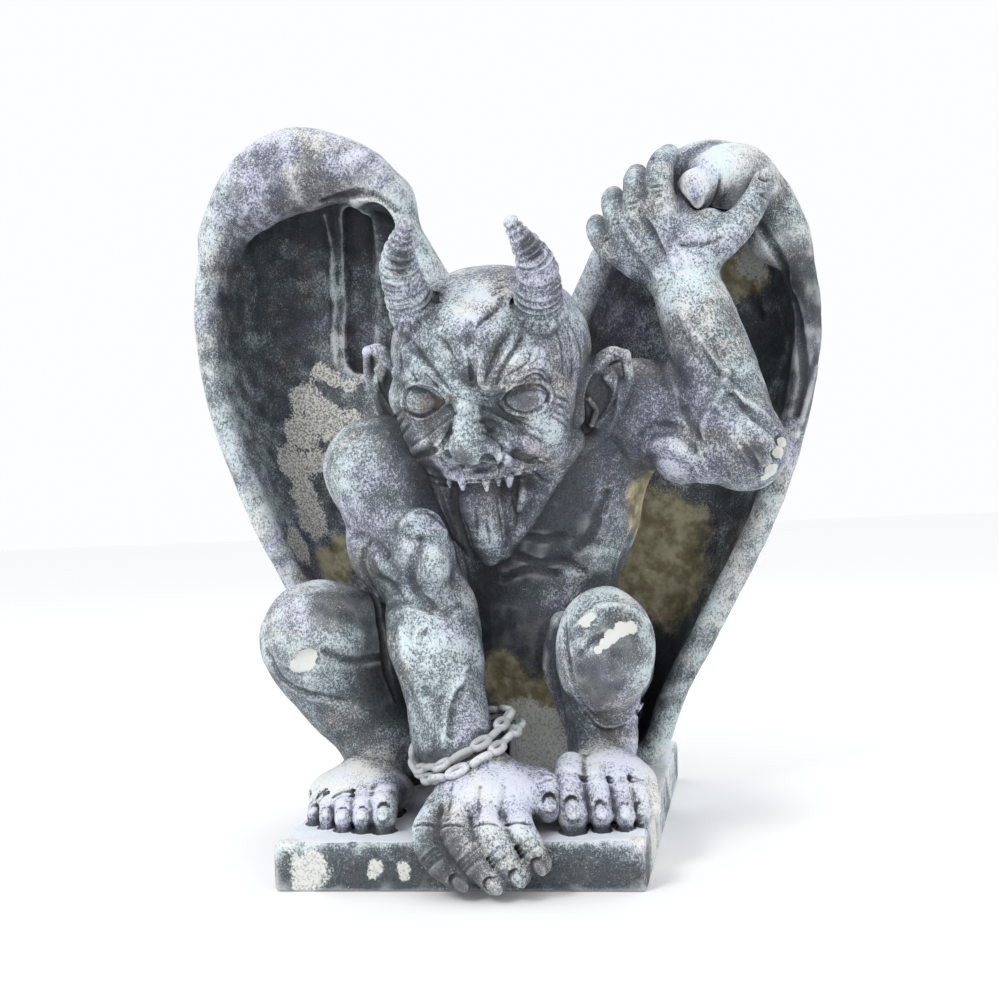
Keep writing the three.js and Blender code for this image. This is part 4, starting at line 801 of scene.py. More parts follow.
def carveHorn(clay, face, side):
    # A curved horn with a groove turned round it at every ring
    plan = headPlan
    horn = plan["horn"]
    line = sided(face, [horn["base"], horn["middle"], horn["tip"]], side)
    clay.add(strand(line, horn["widths"], pieces=8), 4)
    axis = smoothCurve(line, False, 40)
    lengths = np.concatenate([[0], np.cumsum(np.linalg.norm(np.diff(axis, axis=0), axis=1))])
    widths = np.interp(np.arange(len(axis)) / 40, (0, 1, 2), horn["widths"])
    for count in range(1, int(lengths[-1] / plan["hornRing"]) + 1):
        wander = 1.3 * math.sin(count * 2.4 + side)
        i = min(int(np.searchsorted(lengths, count * plan["hornRing"] + wander)), len(axis) - 2)
        around = frameAlong(axis[i], axis[i + 1] - axis[i - 1], (0, -1, 0.3))
        tilt = 0.12 * math.sin(count * 1.7)
        ring = [around.at(widths[i] * math.sin(a), widths[i] * tilt * math.cos(a), widths[i] * math.cos(a))
                for a in np.linspace(0, 2 * math.pi, 16, endpoint=False)]
        clay.carve(strand(ring, plan["hornRingWidth"], closed=True, pieces=2), 2.6)


def carveEyes(clay, face):
    # Eye sockets, eyeballs and lids
    plan = headPlan
    for side in (-1, 1):
        cheekbone, eye = sided(face, [plan["cheekbone"], plan["eye"]], side)
        x, y, z = plan["eye"]
        clay.add(egg(cheekbone, plan["cheekboneSize"]), 16)
        clay.carve(egg(face.at(side * x, y - plan["socketDepth"], z), plan["socketSize"]), 8)
        clay.add(egg(eye, plan["eyeSize"], face), 3)
    for rim in plan["eyeRims"]:
        middle = np.mean(rim, axis=0)
        outer, inner = ([tuple(middle + (np.array(p) - middle) * share) for p in rim] for share in (1.06, 0.9))
        clay.swellUp(outer, 2.9, 2.4, closed=True)
        clay.engrave(inner, 1.3, 1.2, closed=True)


def carveMuzzle(clay, face):
    # Nose, snarling cheeks and lips
    plan = headPlan
    clay.add(strand(sided(face, plan["nose"]), plan["noseWidths"]), 12)
    clay.relief(plan["bridge"])
    clay.model(plan["nostrilWings"], face)
    clay.relief(plan["cheeks"])
    clay.swellUp(plan["lipCorner"], 7, 4, out=2)
    clay.relief(plan["snarl"])
    for u, v, size in plan["nostrils"]:
        clay.carve(egg(clay.seen(u, v, 2), size), 3)
    clay.add(egg(clay.seen(*plan["septum"]), plan["septumSize"]), 3)


def carveMouth(clay, face):
    # Tongue, gums and teeth
    plan = headPlan
    clay.model(plan["gum"], face)
    clay.add(strand(sided(face, plan["tongue"]), plan["tongueWidths"]), 4)
    clay.relief(plan["mouthLines"])
    for u, v, root, tip, length in plan["teeth"]:
        place = clay.seen(u, v) + (0, 6, -4)
        clay.add(limb(place, root, place + (0, 1, -length), tip), 1)


def carveEar(clay, face, side):
    # A pointed ear, hollow towards the front
    plan = headPlan
    ear, hollow = sided(face, [plan["ear"], plan["earHollow"]], side)
    clay.add(egg(ear, plan["earSize"], face), 12)
    for line, widths, blend in plan["earRims"]:
        clay.add(strand(sided(face, line, side), widths), blend)
    clay.carve(egg(hollow, plan["earHollowSize"], face), 5)
    for line, widths, blend in plan["earInside"]:
        clay.add(strand(sided(face, line, side), widths), blend)
    clay.engrave(plan["earFold"][side > 0], 1.8, 2)


def outlineDistance(points, x, z):
    # Signed distance in the front view to a closed outline, negative inside
    rim = smoothCurve([(px, 0, pz) for px, pz in points], True, 8)[:-1][:, [0, 2]]
    nearest = np.full((len(x), len(z)), 1e9, np.float32)
    inside = np.zeros(nearest.shape, bool)
    gx, gz = x[:, None], z[None, :]
    for a, b in zip(rim, np.roll(rim, -1, axis=0)):
        ex, ez = b - a
        t = np.clip(((gx - a[0]) * ex + (gz - a[1]) * ez) / (ex * ex + ez * ez), 0, 1)
        nearest = np.minimum(nearest, np.hypot(gx - a[0] - t * ex, gz - a[1] - t * ez))
        crosses = (a[1] > gz) != (b[1] > gz)
        inside ^= crosses & (gx < a[0] + (gz - a[1]) / (ez if ez else 1e-9) * ex)
    return np.where(inside, -nearest, nearest)


def makeWing(plan):
    # A cupped leaf with a rolled rim, open to the front
    edge = np.array(plan["edge"], float)
    top = edge[:, 1].max()
    low = (edge[:, 0].min() - 20, 0, 30)
    high = (edge[:, 0].max() + 20, 265, top + 20)
    clay = Clay(carving["wingStep"], low, high)
    span, (x, y, z) = clay.window(low, high, 0)
    half, wide, deep = plan["wall"] / 2, plan["shoulder"], plan["cup"]
    inward = (-outlineDistance(plan["edge"], x.ravel(), z.ravel()) - half)[:, None, :]
    back = y - mix(plan["rimFoot"], plan["rimTop"], z / top)
    a = np.minimum((inward - wide) / wide, 0)
    b = back / deep
    k0 = np.sqrt(a * a + b * b)
    k1 = np.maximum(np.sqrt((a / wide) ** 2 + (b / deep) ** 2), 1e-6)
    cup = np.abs(k0 * (k0 - 1) / k1) - half
    rim = np.sqrt(inward ** 2 + back ** 2) - half
    clay.values[span] = np.minimum(np.maximum(cup, -back), rim)
    clay.add(strand(plan["lobeLine"], plan["lobe"]), 34)
    # Shallow flutes fan out over the back
    foot = np.array(plan["fluteFoot"])
    for tip in edge[plan["flutes"][0]:plan["flutes"][1]]:
        line = [clay.behind(*between(foot, tip, share)) for share in np.linspace(0.12, 0.86, 12)]
        line = [place + (0, 3, 0) for place in line if place is not None]
        widths = [9 * math.sin(math.pi * (i + 1) / (len(line) + 1)) + 1 for i in range(len(line))]
        clay.carve(strand(line, widths, pieces=1), 10)
    return clay


def makeWings():
    left, right = makeWing(wingLeft), makeWing(wingRight)
    left.relief(wingLeft["stepEdge"])
    for line, out, width, blend in (wingLeft["recess"], wingLeft["recessSlope"]):
        left.carve(strand(left.lineSeen(line, out=out), width, pieces=1), blend)
    left.relief(wingLeft["overhang"])
    right.relief(wingRight["relief"])
    right.model(clawPlan["masses"])
    right.relief(clawPlan["creases"])
    return left, right


# From clay to meshes
def readAll(items, field, kind, width):
    # One row of values for each item
    values = np.empty(len(items) * width, kind)
    items.foreach_get(field, values)
    return values.reshape(-1, width)


def linked(name, data):
    made = bpy.data.objects.new(name, data)
    bpy.context.collection.objects.link(made)
    return made


def baked(name, rough):
    # What the modifiers make, as a smooth piece of its own
    done = bpy.data.meshes.new_from_object(rough.evaluated_get(bpy.context.evaluated_depsgraph_get()))
    rough.modifiers.clear()
    bpy.data.objects.remove(rough)
    done.name = name
    done.shade_smooth()
    return linked(name, done)


def meshFromClay(name, clay):
    grid = openvdb.FloatGrid(3 * clay.step)
    grid.copyFromArray(np.clip(clay.values, -3 * clay.step, 3 * clay.step), tolerance=0)
    points, triangles, quads = grid.convertToPolygons(0.0, 0.0)
    points = (points + clay.first) * (clay.step * millimetre)
    corners = np.concatenate([quads.ravel(), triangles.ravel()])
    mesh = bpy.data.meshes.new(name)
    mesh.vertices.add(len(points))
    mesh.vertices.foreach_set("co", points.astype(np.float32).ravel())
    mesh.loops.add(len(corners))
    mesh.loops.foreach_set("vertex_index", corners.astype(np.int32))
    starts = np.concatenate([np.arange(len(quads)) * 4, len(quads) * 4 + np.arange(len(triangles)) * 3])
    mesh.polygons.add(len(starts))
    mesh.polygons.foreach_set("loop_start", starts.astype(np.int32))
    mesh.update(calc_edges=True)
    mesh.validate()
    return mesh


def neighbourMean(values, edges, times):
    # Each point's value evened out with its neighbours', so many times
    count = len(values)
    ends = np.concatenate([edges[:, 0], edges[:, 1]])
    others = np.concatenate([edges[:, 1], edges[:, 0]])
    share = np.bincount(ends, minlength=count).astype(float)
    share[share == 0] = 1
    for _ in range(times):
        means = [np.bincount(ends, weights=column[others], minlength=count) / share for column in values.T]
        values = mix(values, np.array(means).T, 0.6)
    return values


def coarseStone(clays):
    # Where there is stone, on a coarse grid round the whole figure, blurred to two widths; the marble paints
    # how sheltered each point is as shade and grime in hollows and under overhangs
    plan = weatherAndShadePlan
    step = plan["shelterStep"]
    first = np.floor(np.array(plan["shelterLow"]) / step).astype(int)
    size = np.ceil(np.array(plan["shelterHigh"]) / step).astype(int) - first
    solid = np.zeros(size, np.float32)
    for clay in clays:
        cells = [np.round((np.arange(n) + f) * step / clay.step).astype(int) - c for n, f,
                 c in zip(size, first, clay.first)]
        good = [(c >= 0) & (c < s) for c, s in zip(cells, clay.size)]
        values = clay.values[np.ix_(*[c[g] for c, g in zip(cells, good)])]
        span = np.ix_(*[np.flatnonzero(g) for g in good])
        solid[span] = np.maximum(solid[span], values < 0)
    return first, [blurred(solid, reach) for reach in plan["shelterReach"]]


def blurred(field, reach):
    for axis in range(3):
        for _ in range(2):
            total = np.cumsum(np.pad(field, [(reach + 1, reach) if a == axis else (0, 0) for a in range(3)]),
                              axis=axis)
            ahead = np.take(total, np.arange(2 * reach + 1, total.shape[axis]), axis=axis)
            behind = np.take(total, np.arange(0, total.shape[axis] - 2 * reach - 1), axis=axis)
            field = (ahead - behind) / (2 * reach + 1)
    return field


def weatherAndShadePiece(mesh, shelterShade, patches):
    # Point attributes that the marble reads: hollows, with grime and painted shade in the grooves, how
    # sheltered each point is, painted as shade and grime, how much it faces up, painted as light from above,
    # and the patches on the stone, of which the pale and dark ones are partly painted light and shade
    places = readAll(mesh.vertices, "co", np.float32, 3) / millimetre
    normals = readAll(mesh.vertices, "normal", np.float32, 3)
    edges = readAll(mesh.edges, "vertices", np.int32, 2)
    layers = {}
    for name, times, size in weatherAndShadePlan["hollows"]:
        lift = ((neighbourMean(places, edges, times) - places) * normals).sum(axis=1)
        layers[name] = neighbourMean(np.clip(lift / size, -1, 1)[:, None], edges, 1)[:, 0]
    first, fields = shelterShade
    for name, field, out in zip(("shelterShadeNear", "shelterShadeFar"), fields, weatherAndShadePlan["shelterOut"]):
        cells = np.round((places + normals * out) / weatherAndShadePlan["shelterStep"]).astype(int) - first
        cells = np.clip(cells, 0, np.array(field.shape) - 1)
        layers[name] = neighbourMean(field[cells[:, 0], cells[:, 1], cells[:, 2]][:, None], edges, 4)[:, 0]
    # How much each point faces up, which the marble paints lighter as light from above
    layers["upward"] = neighbourMean(normals, edges, 3)[:, 2]
    for name, spots in patches.items():
        cover = np.zeros(len(places))
        for spot, radius in spots:
            cover = np.maximum(cover, 1 - np.linalg.norm(places - spot, axis=1) / radius / 2)
        layers[name] = cover
    for name, values in layers.items():
        layer = mesh.attributes.new(name, "FLOAT", "POINT")
        layer.data.foreach_set("value", values.astype(np.float32))


def roughHewn(mesh):
    # Hand-cut unevenness, always inwards, and none on the face that it stands on
    places = readAll(mesh.vertices, "co", np.float32, 3)
    normals = readAll(mesh.vertices, "normal", np.float32, 3)
    depth = np.zeros(len(places), np.float32)
    for size, amount in carving["unevenness"]:
        waves = [noise.noise(place) for place in (places / (size * millimetre)).tolist()]
        depth += (np.clip(waves, -0.6, 0.6) + 0.6) * amount * millimetre
    depth *= np.clip(places[:, 2] / (6 * millimetre), 0, 1)
    mesh.vertices.foreach_set("co", (places - normals * depth[:, None]).ravel())
    mesh.update()


def makePiece(name, clays):
    # One mesh of one or more clays, thinned where the stone is smooth
    rough = linked(name + "-rough", meshFromClay(name + "-rough", clays[0].trim()))
    for clay in clays[1:]:
        extra = linked(name + "-extra", meshFromClay(name + "-extra", clay.trim()))
        with bpy.context.temp_override(active_object=rough, selected_editable_objects=[rough, extra]):
            bpy.ops.object.join()
    roughHewn(rough.data)
    faces = sum(len(p.vertices) - 2 for p in rough.data.polygons)
    thin = rough.modifiers.new("thin", "DECIMATE")
    thin.ratio = min(1.0, carving["triangles"] / faces)
    thin.use_collapse_triangulate = True
    piece = baked(name, rough)
    print(name, "from", faces, "to", len(piece.data.polygons), "triangles")
    return piece


# Weathered marble, with painted light and shade
weatherAndShadePlan = {
    # The hollows have a name, how often they are evened out, and the depth in mm that counts as full
    "hollows": [("hollowFine", 2, 0.5), ("hollowWide", 14, 2.2)],
    # The coarse grid of how sheltered each point is, which the marble paints as shade and grime
    "shelterStep": 8.0, "shelterLow": (-460, -340, -40), "shelterHigh": (470, 310, 980),
    "shelterReach": (2, 6), "shelterOut": (12, 34),
    "patches": {  # places as the camera sees them, with a radius in mm
        "lime": [(320, 373, 14), (334, 380, 12), (350, 385, 11), (362, 377, 9), (306, 400, 26), (303, 432, 30),
                 (330, 422, 28), (352, 417, 14), (293, 465, 30), (318, 462, 18), (305, 496, 26), (312, 520, 28),
                 (299, 545, 28), (330, 560, 22)],
        "ochre": [(334, 568, 34), (345, 550, 24), (645, 498, 50), (640, 540, 70), (660, 575, 70),
                  (672, 530, 50),
                  (512, 690, 40), (528, 708, 40), (505, 672, 30), (542, 700, 34), (745, 266, 40)],
        "fresh": [(305, 660, 13), (296, 667, 9), (311, 654, 9), (585, 622, 7), (591, 617, 5), (612, 636, 9),
                  (605, 643, 7),
                  (622, 629, 10), (632, 627, 8), (598, 650, 5), (779, 452, 8), (783, 442, 7), (772, 470, 9),
                  (766, 478, 6)],
        "rust": [(425, 404, 10), (438, 402, 8), (450, 400, 7), (535, 385, 5), (537, 453, 10), (530, 446, 7)],
        "cream": [(308, 874, 20), (303, 884, 14), (314, 862, 12), (375, 868, 9), (372, 875, 6), (405, 868, 8),
                  (404, 876, 6), (660, 800, 30), (655, 840, 34), (668, 770, 30), (290, 840, 12), (534, 750, 50),
                  (524, 728, 40), (550, 765, 40), (540, 735, 40), (752, 262, 26), (640, 838, 12)],
        # pale spots are partly pale stone and partly painted highlights, as on the plinth's top and the knees
        "pale": [(295, 838, 40), (330, 840, 30), (375, 840, 30), (410, 840, 30), (560, 840, 26), (595, 840, 26),
                 (635, 838, 36), (655, 780, 70), (668, 760, 60), (660, 830, 60), (470, 300, 36), (545, 430, 24),
                 (420, 640, 30), (710, 160, 40), (690, 280, 40), (400, 760, 40), (600, 760, 44), (590, 750, 40),
                 (330, 780, 40), (350, 800, 44), (500, 790, 50), (520, 720, 60), (535, 750, 60), (565, 590, 30),
                 (333, 290, 16),
                 (334, 340, 16), (470, 560, 30)],
        # dark spots are partly dark stone and partly painted shade, as on the plinth's front, under the belly
        # and in the hollows
        "dark": [(345, 876, 46), (375, 876, 46), (405, 876, 46), (440, 872, 46), (550, 874, 46), (580, 876, 46),
                 (608, 876, 46), (634, 874, 40), (290, 868, 24), (432, 765, 16), (460, 757, 16), (488, 738, 16),
                 (503, 722, 12),
                 (805, 300, 60), (812, 380, 60), (560, 520, 50), (530, 560, 40), (500, 620, 56), (545, 640, 40),
                 (760, 350, 40), (380, 690, 30), (335, 605, 30), (330, 220, 30), (620, 640, 26), (600, 680, 30),
                 (460, 460, 14), (528, 399, 14), (400, 262, 13), (531, 248, 13), (755, 455, 14)],
    },
}
marblePlan = {  # how fine each noise is, and the colours between which it mixes
    "stroke": 620.0, "grain": 330.0, "cloud": 9.0, "tint": 5.0, "blotch": 38.0, "pits": 210.0,
    "under": ((0.058, 0.066, 0.08), (0.125, 0.14, 0.175)), "over": ((0.25, 0.265, 0.29), (0.66, 0.7, 0.76)),
    "greenish": (0.91, 1.04, 0.98), "bluish": (0.98, 0.94, 1.1), "warm": (1.08, 1.02, 0.89),
    "salt": (0.8, 0.82, 0.85), "scratch": (0.6, 0.62, 0.62), "pepper": (0.03, 0.034, 0.04),
    "dirtAndShade": (0.018, 0.02, 0.024), "rubbed": (0.72, 0.74, 0.74), "paintedTopLight": (0.84, 0.88, 0.95),
    "crust": ((0.3, 0.29, 0.27), (0.86, 0.84, 0.79)), "ochre": ((0.24, 0.2, 0.1), (0.58, 0.52, 0.34)),
    "rust": (0.2, 0.11, 0.09), "cream": ((0.47, 0.48, 0.44), (0.8, 0.81, 0.77)), "fresh": (0.68, 0.69, 0.65),
    "roughness": (0.62, 0.88), "bumpStrength": 0.7, "bumpDepth": 0.0016,
}


class Wire:
    # A socket that can be added to, multiplied and so on
    def __init__(self, graph, socket):
        self.graph = graph
        self.socket = socket

    def combine(self, other, operation, swapped=False):
        first, second = (other, self) if swapped else (self, other)
        return self.graph.make("ShaderNodeMath", {"operation": operation}, {0: first, 1: second})

    def __add__(self, other):
        return self.combine(other, "ADD")

    def __radd__(self, other):
        return self.combine(other, "ADD")

    def __sub__(self, other):
        return self.combine(other, "SUBTRACT")

    def __rsub__(self, other):
        return self.combine(other, "SUBTRACT", swapped=True)

    def __mul__(self, other):
        return self.combine(other, "MULTIPLY")

    def __rmul__(self, other):
        return self.combine(other, "MULTIPLY")

    def slope(self, low, high, start=0.0, end=1.0):
        # Goes smoothly from start at low to end at high, and stays level outside
        return self.graph.make("ShaderNodeMapRange", {"interpolation_type": "SMOOTHSTEP"},
                               {"Value": self, "From Min": low, "From Max": high, "To Min": start,
                                "To Max": end})


class Graph:
    def __init__(self, tree):
        self.tree = tree

    def make(self, kind, settings=None, values=None, output=0):
        node = self.tree.nodes.new(kind)
        for name, value in (settings or {}).items():
            setattr(node, name, value)
        for key, value in (values or {}).items():
            if isinstance(value, Wire):
                self.tree.links.new(value.socket, node.inputs[key])
            else:
                node.inputs[key].default_value = value
        return Wire(self, node.outputs[output])

    def blend(self, share, first, second, kind="MIX"):
        paints = [(*paint, 1) if isinstance(paint, tuple) else paint for paint in (first, second)]
        return self.make("ShaderNodeMix", {"data_type": "RGBA", "blend_type": kind, "clamp_factor": True},
                         {0: share, 6: paints[0], 7: paints[1]}, 2)

    def attribute(self, name):
        return self.make("ShaderNodeAttribute", {"attribute_name": name}, {}, 2)

    def noise(self, place, scale, detail=3.0, roughness=0.55, distortion=0.0):
        return self.make("ShaderNodeTexNoise", {}, {"Vector": place, "Scale": scale, "Detail": detail,
                                                   "Roughness": roughness, "Distortion": distortion})


def makeMarble():
    plan = marblePlan
    material = bpy.data.materials.new("weathered-marble-painted-light-and-shade")
    material.use_nodes = True
    shader = material.node_tree.nodes["Principled BSDF"]
    graph = Graph(material.node_tree)
    place = graph.make("ShaderNodeTexCoord", {}, {}, 3)
    stretched = graph.make("ShaderNodeMapping", {}, {"Vector": place, "Scale": (1.0, 1.0, 0.3)})
    leaning = graph.make("ShaderNodeMapping", {},
                         {"Vector": place, "Rotation": (0.5, 0.7, 0.2), "Scale": (1.0, 0.3, 1.0)})
    cloud = graph.noise(place, plan["cloud"], 4.0, 0.6)
    tint = graph.noise(place, plan["tint"], 3.0, 0.6, 0.6)
    secondTint = graph.noise(place, plan["tint"] * 2.3, 3.0, 0.6, 0.4)
    blotch = graph.noise(place, plan["blotch"], 4.0, 0.65)
    grain = graph.noise(place, plan["grain"], 3.0, 0.75)
    stroke = graph.noise(stretched, plan["stroke"], 2.0, 0.6)
    scratch = graph.noise(leaning, plan["stroke"] * 0.8, 2.0, 0.7)
    fine, wide = graph.attribute("hollowFine"), graph.attribute("hollowWide")
    near, far = graph.attribute("shelterShadeNear"), graph.attribute("shelterShadeFar")
    upward = graph.attribute("upward")
    # The pale and dark spots carry painted light and shade as well as the stone's own tone
    pale, dark = graph.attribute("pale"), graph.attribute("dark")

    # How pale the stone is, 0 in black hollows and 1 on pale tops: washing and random tone, with painted shade
    # where it is sheltered, in wide hollows and on the dark spots, and painted light on upward faces and the
    # pale spots
    shelterShade = near.slope(0.02, 0.62) * 0.3 + far.slope(0.1, 0.55) * 0.42
    washedLitAndShaded = (0.54 - shelterShade + upward.slope(-0.4, 0.95) * 0.11 + (cloud - 0.5) * 0.85 + (blotch - 0.5) * 0.45
              + pale.slope(0.2, 0.8) * 0.36 - dark.slope(0.2, 0.8) * 0.58 - wide.slope(0.0, 0.9) * 0.4
              + (0.0 - wide).slope(0.0, 0.8) * 0.2)
    under = graph.blend(washedLitAndShaded.slope(0.0, 0.9), *plan["under"])
    over = graph.blend(washedLitAndShaded.slope(0.0, 1.0), *plan["over"])

    # Old limewash in grains and strokes, thick on what stands out and thin in the hollows, following the
    # painted light and shade of washedLitAndShaded
    pattern = grain * 0.5 + stroke * 0.25 + blotch * 0.25
    cover = (pattern + (washedLitAndShaded - 0.5) * 0.17).slope(0.47, 0.57)
    ground = graph.blend(cover, under, over)
    coolTint = graph.blend(tint.slope(0.42, 0.6), plan["greenish"], plan["bluish"])
    warmTint = graph.blend(secondTint.slope(0.48, 0.64), coolTint, plan["warm"])
    ground = graph.blend(0.9, ground, warmTint, "MULTIPLY")
    amount = (washedLitAndShaded - 0.5) * 0.1
    salt = (graph.noise(place, plan["grain"] * 1.9, 4.0, 0.8) + amount).slope(0.545, 0.64)
    scratches = (scratch + amount).slope(0.6, 0.68)
    ground = graph.blend(salt * 0.72, ground, plan["salt"])
    ground = graph.blend(scratches * 0.5, ground, plan["scratch"])
    pepper = (graph.noise(place, plan["grain"] * 0.8, 3.0, 0.8) + amount).slope(0.42, 0.35)
    ground = graph.blend(pepper * 0.85, ground, plan["pepper"])

    # Dirt and painted shade in every groove, and rubbed edges
    ground = graph.blend(fine.slope(0.04, 0.7) * 0.86, ground, plan["dirtAndShade"])
    ground = graph.blend((0.0 - fine).slope(0.06, 0.8) * 0.55, ground, plan["rubbed"])

    # The plinth's top is painted lighter, as light falling on it from above
    height = graph.make("ShaderNodeSeparateXYZ", {}, {"Vector": place}, 2)
    paintedTopLight = upward.slope(0.8, 0.95) * height.slope(0.048, 0.052) * height.slope(0.07, 0.06)
    paintedTopLightMask = (paintedTopLight + (blotch - 0.5) * 0.8 + (grain - 0.5) * 0.6).slope(0.45, 0.75)
    ground = graph.blend(paintedTopLightMask * 0.85, ground, plan["paintedTopLight"])

    # Patches: lime crust, bare ochre stone, rust, cream runs and fresh breaks
    torn = (blotch - 0.5) * 0.7 + (grain - 0.5) * 0.5
    lime = (graph.attribute("lime") + torn).slope(0.46, 0.56)
    crust = graph.blend(grain.slope(0.44, 0.54), *plan["crust"])
    ground = graph.blend(lime * 0.92, ground, crust)
    ochre = (graph.attribute("ochre") + torn * 0.6).slope(0.36, 0.62)
    bare = graph.blend(blotch.slope(0.35, 0.65), *plan["ochre"])
    ground = graph.blend(ochre * 0.88, ground, bare)
    rust = (graph.attribute("rust") + torn * 0.4).slope(0.35, 0.75)
    ground = graph.blend(rust * 0.35, ground, plan["rust"])
    cream = (graph.attribute("cream") + torn).slope(0.42, 0.6)
    milk = graph.blend(grain.slope(0.4, 0.5), *plan["cream"])
    ground = graph.blend(cream * 0.85, ground, milk)
    fresh = (graph.attribute("fresh") + torn * 0.6).slope(0.46, 0.53)
    ground = graph.blend(fresh * 0.95, ground, plan["fresh"])

    shaderLinks = {"Base Color": ground, "Roughness": washedLitAndShaded.slope(0.0, 1.0, *plan["roughness"])}
    pits = graph.make("ShaderNodeTexVoronoi", {"feature": "F1"},
                      {"Vector": place, "Scale": plan["pits"]}).slope(0.0, 0.35)
    relief = grain * 0.5 + stroke * 0.35 + pits * 0.25 + blotch * 0.6 + lime * 0.35 - fresh * 0.3
    bump = graph.make("ShaderNodeBump", {},
                      {"Strength": plan["bumpStrength"], "Distance": plan["bumpDepth"], "Height": relief})
    shaderLinks["Normal"] = bump
    for name, wire in shaderLinks.items():
        material.node_tree.links.new(wire.socket, shader.inputs[name])
    return material


# The chain round the wrist: links strung along a path by Geometry Nodes
def makeChainTree():
    tree = bpy.data.node_groups.new("links-along-path", "GeometryNodeTree")
    for name, kind in (("Path", "NodeSocketGeometry"), ("Links", "NodeSocketInt"),
                       ("Link length", "NodeSocketFloat"),
                       ("Link width", "NodeSocketFloat"), ("Wire radius", "NodeSocketFloat"),
                       ("Marble", "NodeSocketMaterial")):
        tree.interface.new_socket(name, in_out="INPUT", socket_type=kind)
    tree.interface.new_socket("Chain", in_out="OUTPUT", socket_type="NodeSocketGeometry")
    graph = Graph(tree)
    given = tree.nodes.new("NodeGroupInput")
    path, links, length, width, wire, marble = (Wire(graph, given.outputs[i]) for i in range(6))
    ring = graph.make("GeometryNodeCurvePrimitiveCircle", {}, {"Resolution": 20, "Radius": 1.0})
    size = graph.make("ShaderNodeCombineXYZ", {}, {0: length * 0.5 - wire, 1: width * 0.5 - wire, 2: 1.0})
    ring = graph.make("GeometryNodeTransform", {}, {"Geometry": ring, "Scale": size})
    wireOutline = graph.make("GeometryNodeCurvePrimitiveCircle", {}, {"Resolution": 8, "Radius": wire})
    link = graph.make("GeometryNodeCurveToMesh", {}, {"Curve": ring, "Profile Curve": wireOutline})
    points = graph.make("GeometryNodeResampleCurve", {"mode": "COUNT"}, {"Curve": path, "Count": links})
    tangent = graph.make("GeometryNodeInputTangent")
    turned = graph.make("FunctionNodeAlignRotationToVector", {"axis": "X", "pivot_axis": "AUTO"},
                        {"Vector": tangent})
    count = graph.make("GeometryNodeInputIndex")
    odd = count.combine(2.0, "MODULO")
    twist = graph.make("FunctionNodeAxisAngleToRotation", {},
                       {"Axis": (1.0, 0.0, 0.0), "Angle": odd * 1.1 - 0.55})
    turned = graph.make("FunctionNodeRotateRotation", {"rotation_space": "LOCAL"},
                        {"Rotation": turned, "Rotate By": twist})
    strung = graph.make("GeometryNodeInstanceOnPoints", {},
                        {"Points": points, "Instance": link, "Rotation": turned})
    real = graph.make("GeometryNodeRealizeInstances", {}, {"Geometry": strung})
    painted = graph.make("GeometryNodeSetMaterial", {}, {"Geometry": real, "Material": marble})
    out = tree.nodes.new("NodeGroupOutput")
    tree.links.new(painted.socket, out.inputs[0])
    return tree


def makeChain(wrist, marble):
    plan = chainPlan
    paths = bpy.data.curves.new("chain-path", "CURVE")
    paths.dimensions = "3D"
    for name in ("upper", "lower"):
        places = smoothCurve(chainPath(wrist, name, plan["proud"]), True, 6)[:-1] * millimetre
        spline = paths.splines.new("POLY")
        spline.points.add(len(places) - 1)
        spline.points.foreach_set("co", np.hstack([places, np.ones((len(places), 1))]).ravel())
        spline.use_cyclic_u = True
    rough = linked("chain-path", paths)
    tree = makeChainTree()
    modifier = rough.modifiers.new("links", "NODES")
    modifier.node_group = tree
    sizes = {"Links": plan["links"], "Link length": plan["linkLength"] * millimetre, "Marble": marble,
             "Link width": plan["linkWidth"] * millimetre, "Wire radius": plan["wire"] * millimetre}
    for item in tree.interface.items_tree:
        if item.in_out == "INPUT" and item.name in sizes:
            modifier[item.identifier] = sizes[item.name]
    piece = baked("gargoyle-chain", rough)
    print("chain of", len(piece.data.polygons), "faces")
    return piece


# Room, light and camera
stagePlan = {
    "floorSize": 30.0, "floorColour": (0.96, 0.96, 0.96, 1), "sky": 1.0, "skyColour": (0.97, 0.985, 1, 1),
    "aim": (0, 0, 0.45),
    "lamps": [
        {"name": "key", "place": (-1.6, -2.4, 2.9), "size": 1.2, "power": 52},
        {"name": "fill", "place": (2.6, -2.0, 1.6), "size": 2.2, "power": 6},
        {"name": "rim", "place": (0.6, 2.4, 2.4), "size": 1.6, "power": 16},
    ],
}


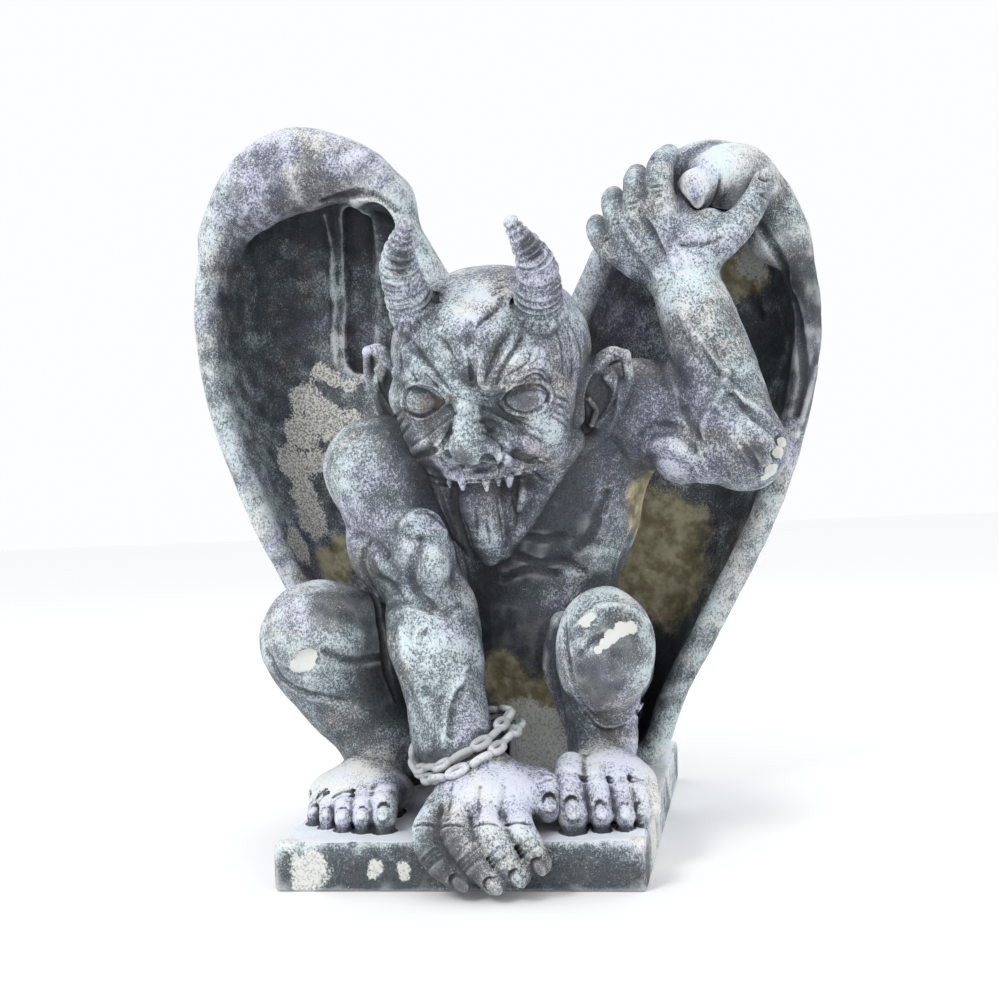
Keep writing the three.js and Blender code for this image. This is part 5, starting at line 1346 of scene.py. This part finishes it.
def makeStage():
    bpy.ops.mesh.primitive_plane_add(size=stagePlan["floorSize"])
    floor = bpy.context.object
    floor.name = "floor"
    paint = bpy.data.materials.new("pale-floor")
    paint.use_nodes = True
    shader = paint.node_tree.nodes["Principled BSDF"]
    shader.inputs["Base Color"].default_value = stagePlan["floorColour"]
    shader.inputs["Roughness"].default_value = 0.9
    floor.data.materials.append(paint)
    world = bpy.data.worlds.new("studio")
    world.use_nodes = True
    world.node_tree.nodes["Background"].inputs["Color"].default_value = stagePlan["skyColour"]
    world.node_tree.nodes["Background"].inputs["Strength"].default_value = stagePlan["sky"]
    bpy.context.scene.world = world
    bpy.context.scene.view_settings.view_transform = "Standard"
    for plan in stagePlan["lamps"]:
        lamp = bpy.data.lights.new(plan["name"], "AREA")
        lamp.size = plan["size"]
        lamp.energy = plan["power"]
        holder = linked(plan["name"], lamp)
        holder.location = plan["place"]
        aim = Vector(stagePlan["aim"]) - Vector(plan["place"])
        holder.rotation_euler = aim.to_track_quat("-Z", "Y").to_euler()


def makeCamera():
    plan = cameraPlan
    camera = bpy.data.cameras.new("photo-view")
    camera.sensor_width = plan["sensor"]
    camera.lens = plan["focalPixels"] / plan["photoPixels"] * plan["sensor"]
    holder = linked("photo-view", camera)
    right, up = Vector(plan["right"]), Vector(plan["up"])
    turned = Matrix((right, up, right.cross(up))).transposed()
    holder.matrix_world = Matrix.Translation(Vector(plan["place"]) * millimetre) @ turned.to_4x4()
    bpy.context.scene.camera = holder


def seenOn(clays, u, v):
    # The nearest place that the camera sees on any of the clays
    places = [p for p in (clay.seen(u, v) for clay in clays) if p is not None]
    return min(places, key=lambda p: np.linalg.norm(p - eyePoint)) if places else None


print("stage and camera")
makeStage()
makeCamera()
print("carving")
wings, arms = makeWings(), (makeBracedArm(), makeRaisedArm())
parts = {"gargoyle-head": [makeHead()], "gargoyle-arms": arms, "gargoyle-body": [makeBody()],
         "gargoyle-wings": wings}
everyClay = [clay for clays in parts.values() for clay in clays]
shelterShade = coarseStone(everyClay)
patches = {name: [(place, radius) for u, v, radius in spots if (place := seenOn(everyClay, u, v)) is not None]
           for name, spots in weatherAndShadePlan["patches"].items()}
print("weathering")
marble = makeMarble()
pieces = [makePiece(name, clays) for name, clays in parts.items()] + [makeChain(arms[0], marble)]
for piece in pieces:
    weatherAndShadePiece(piece.data, shelterShade, patches)
    piece.data.materials.clear()
    piece.data.materials.append(marble)
    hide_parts("gargoyle")
    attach(piece, "root")
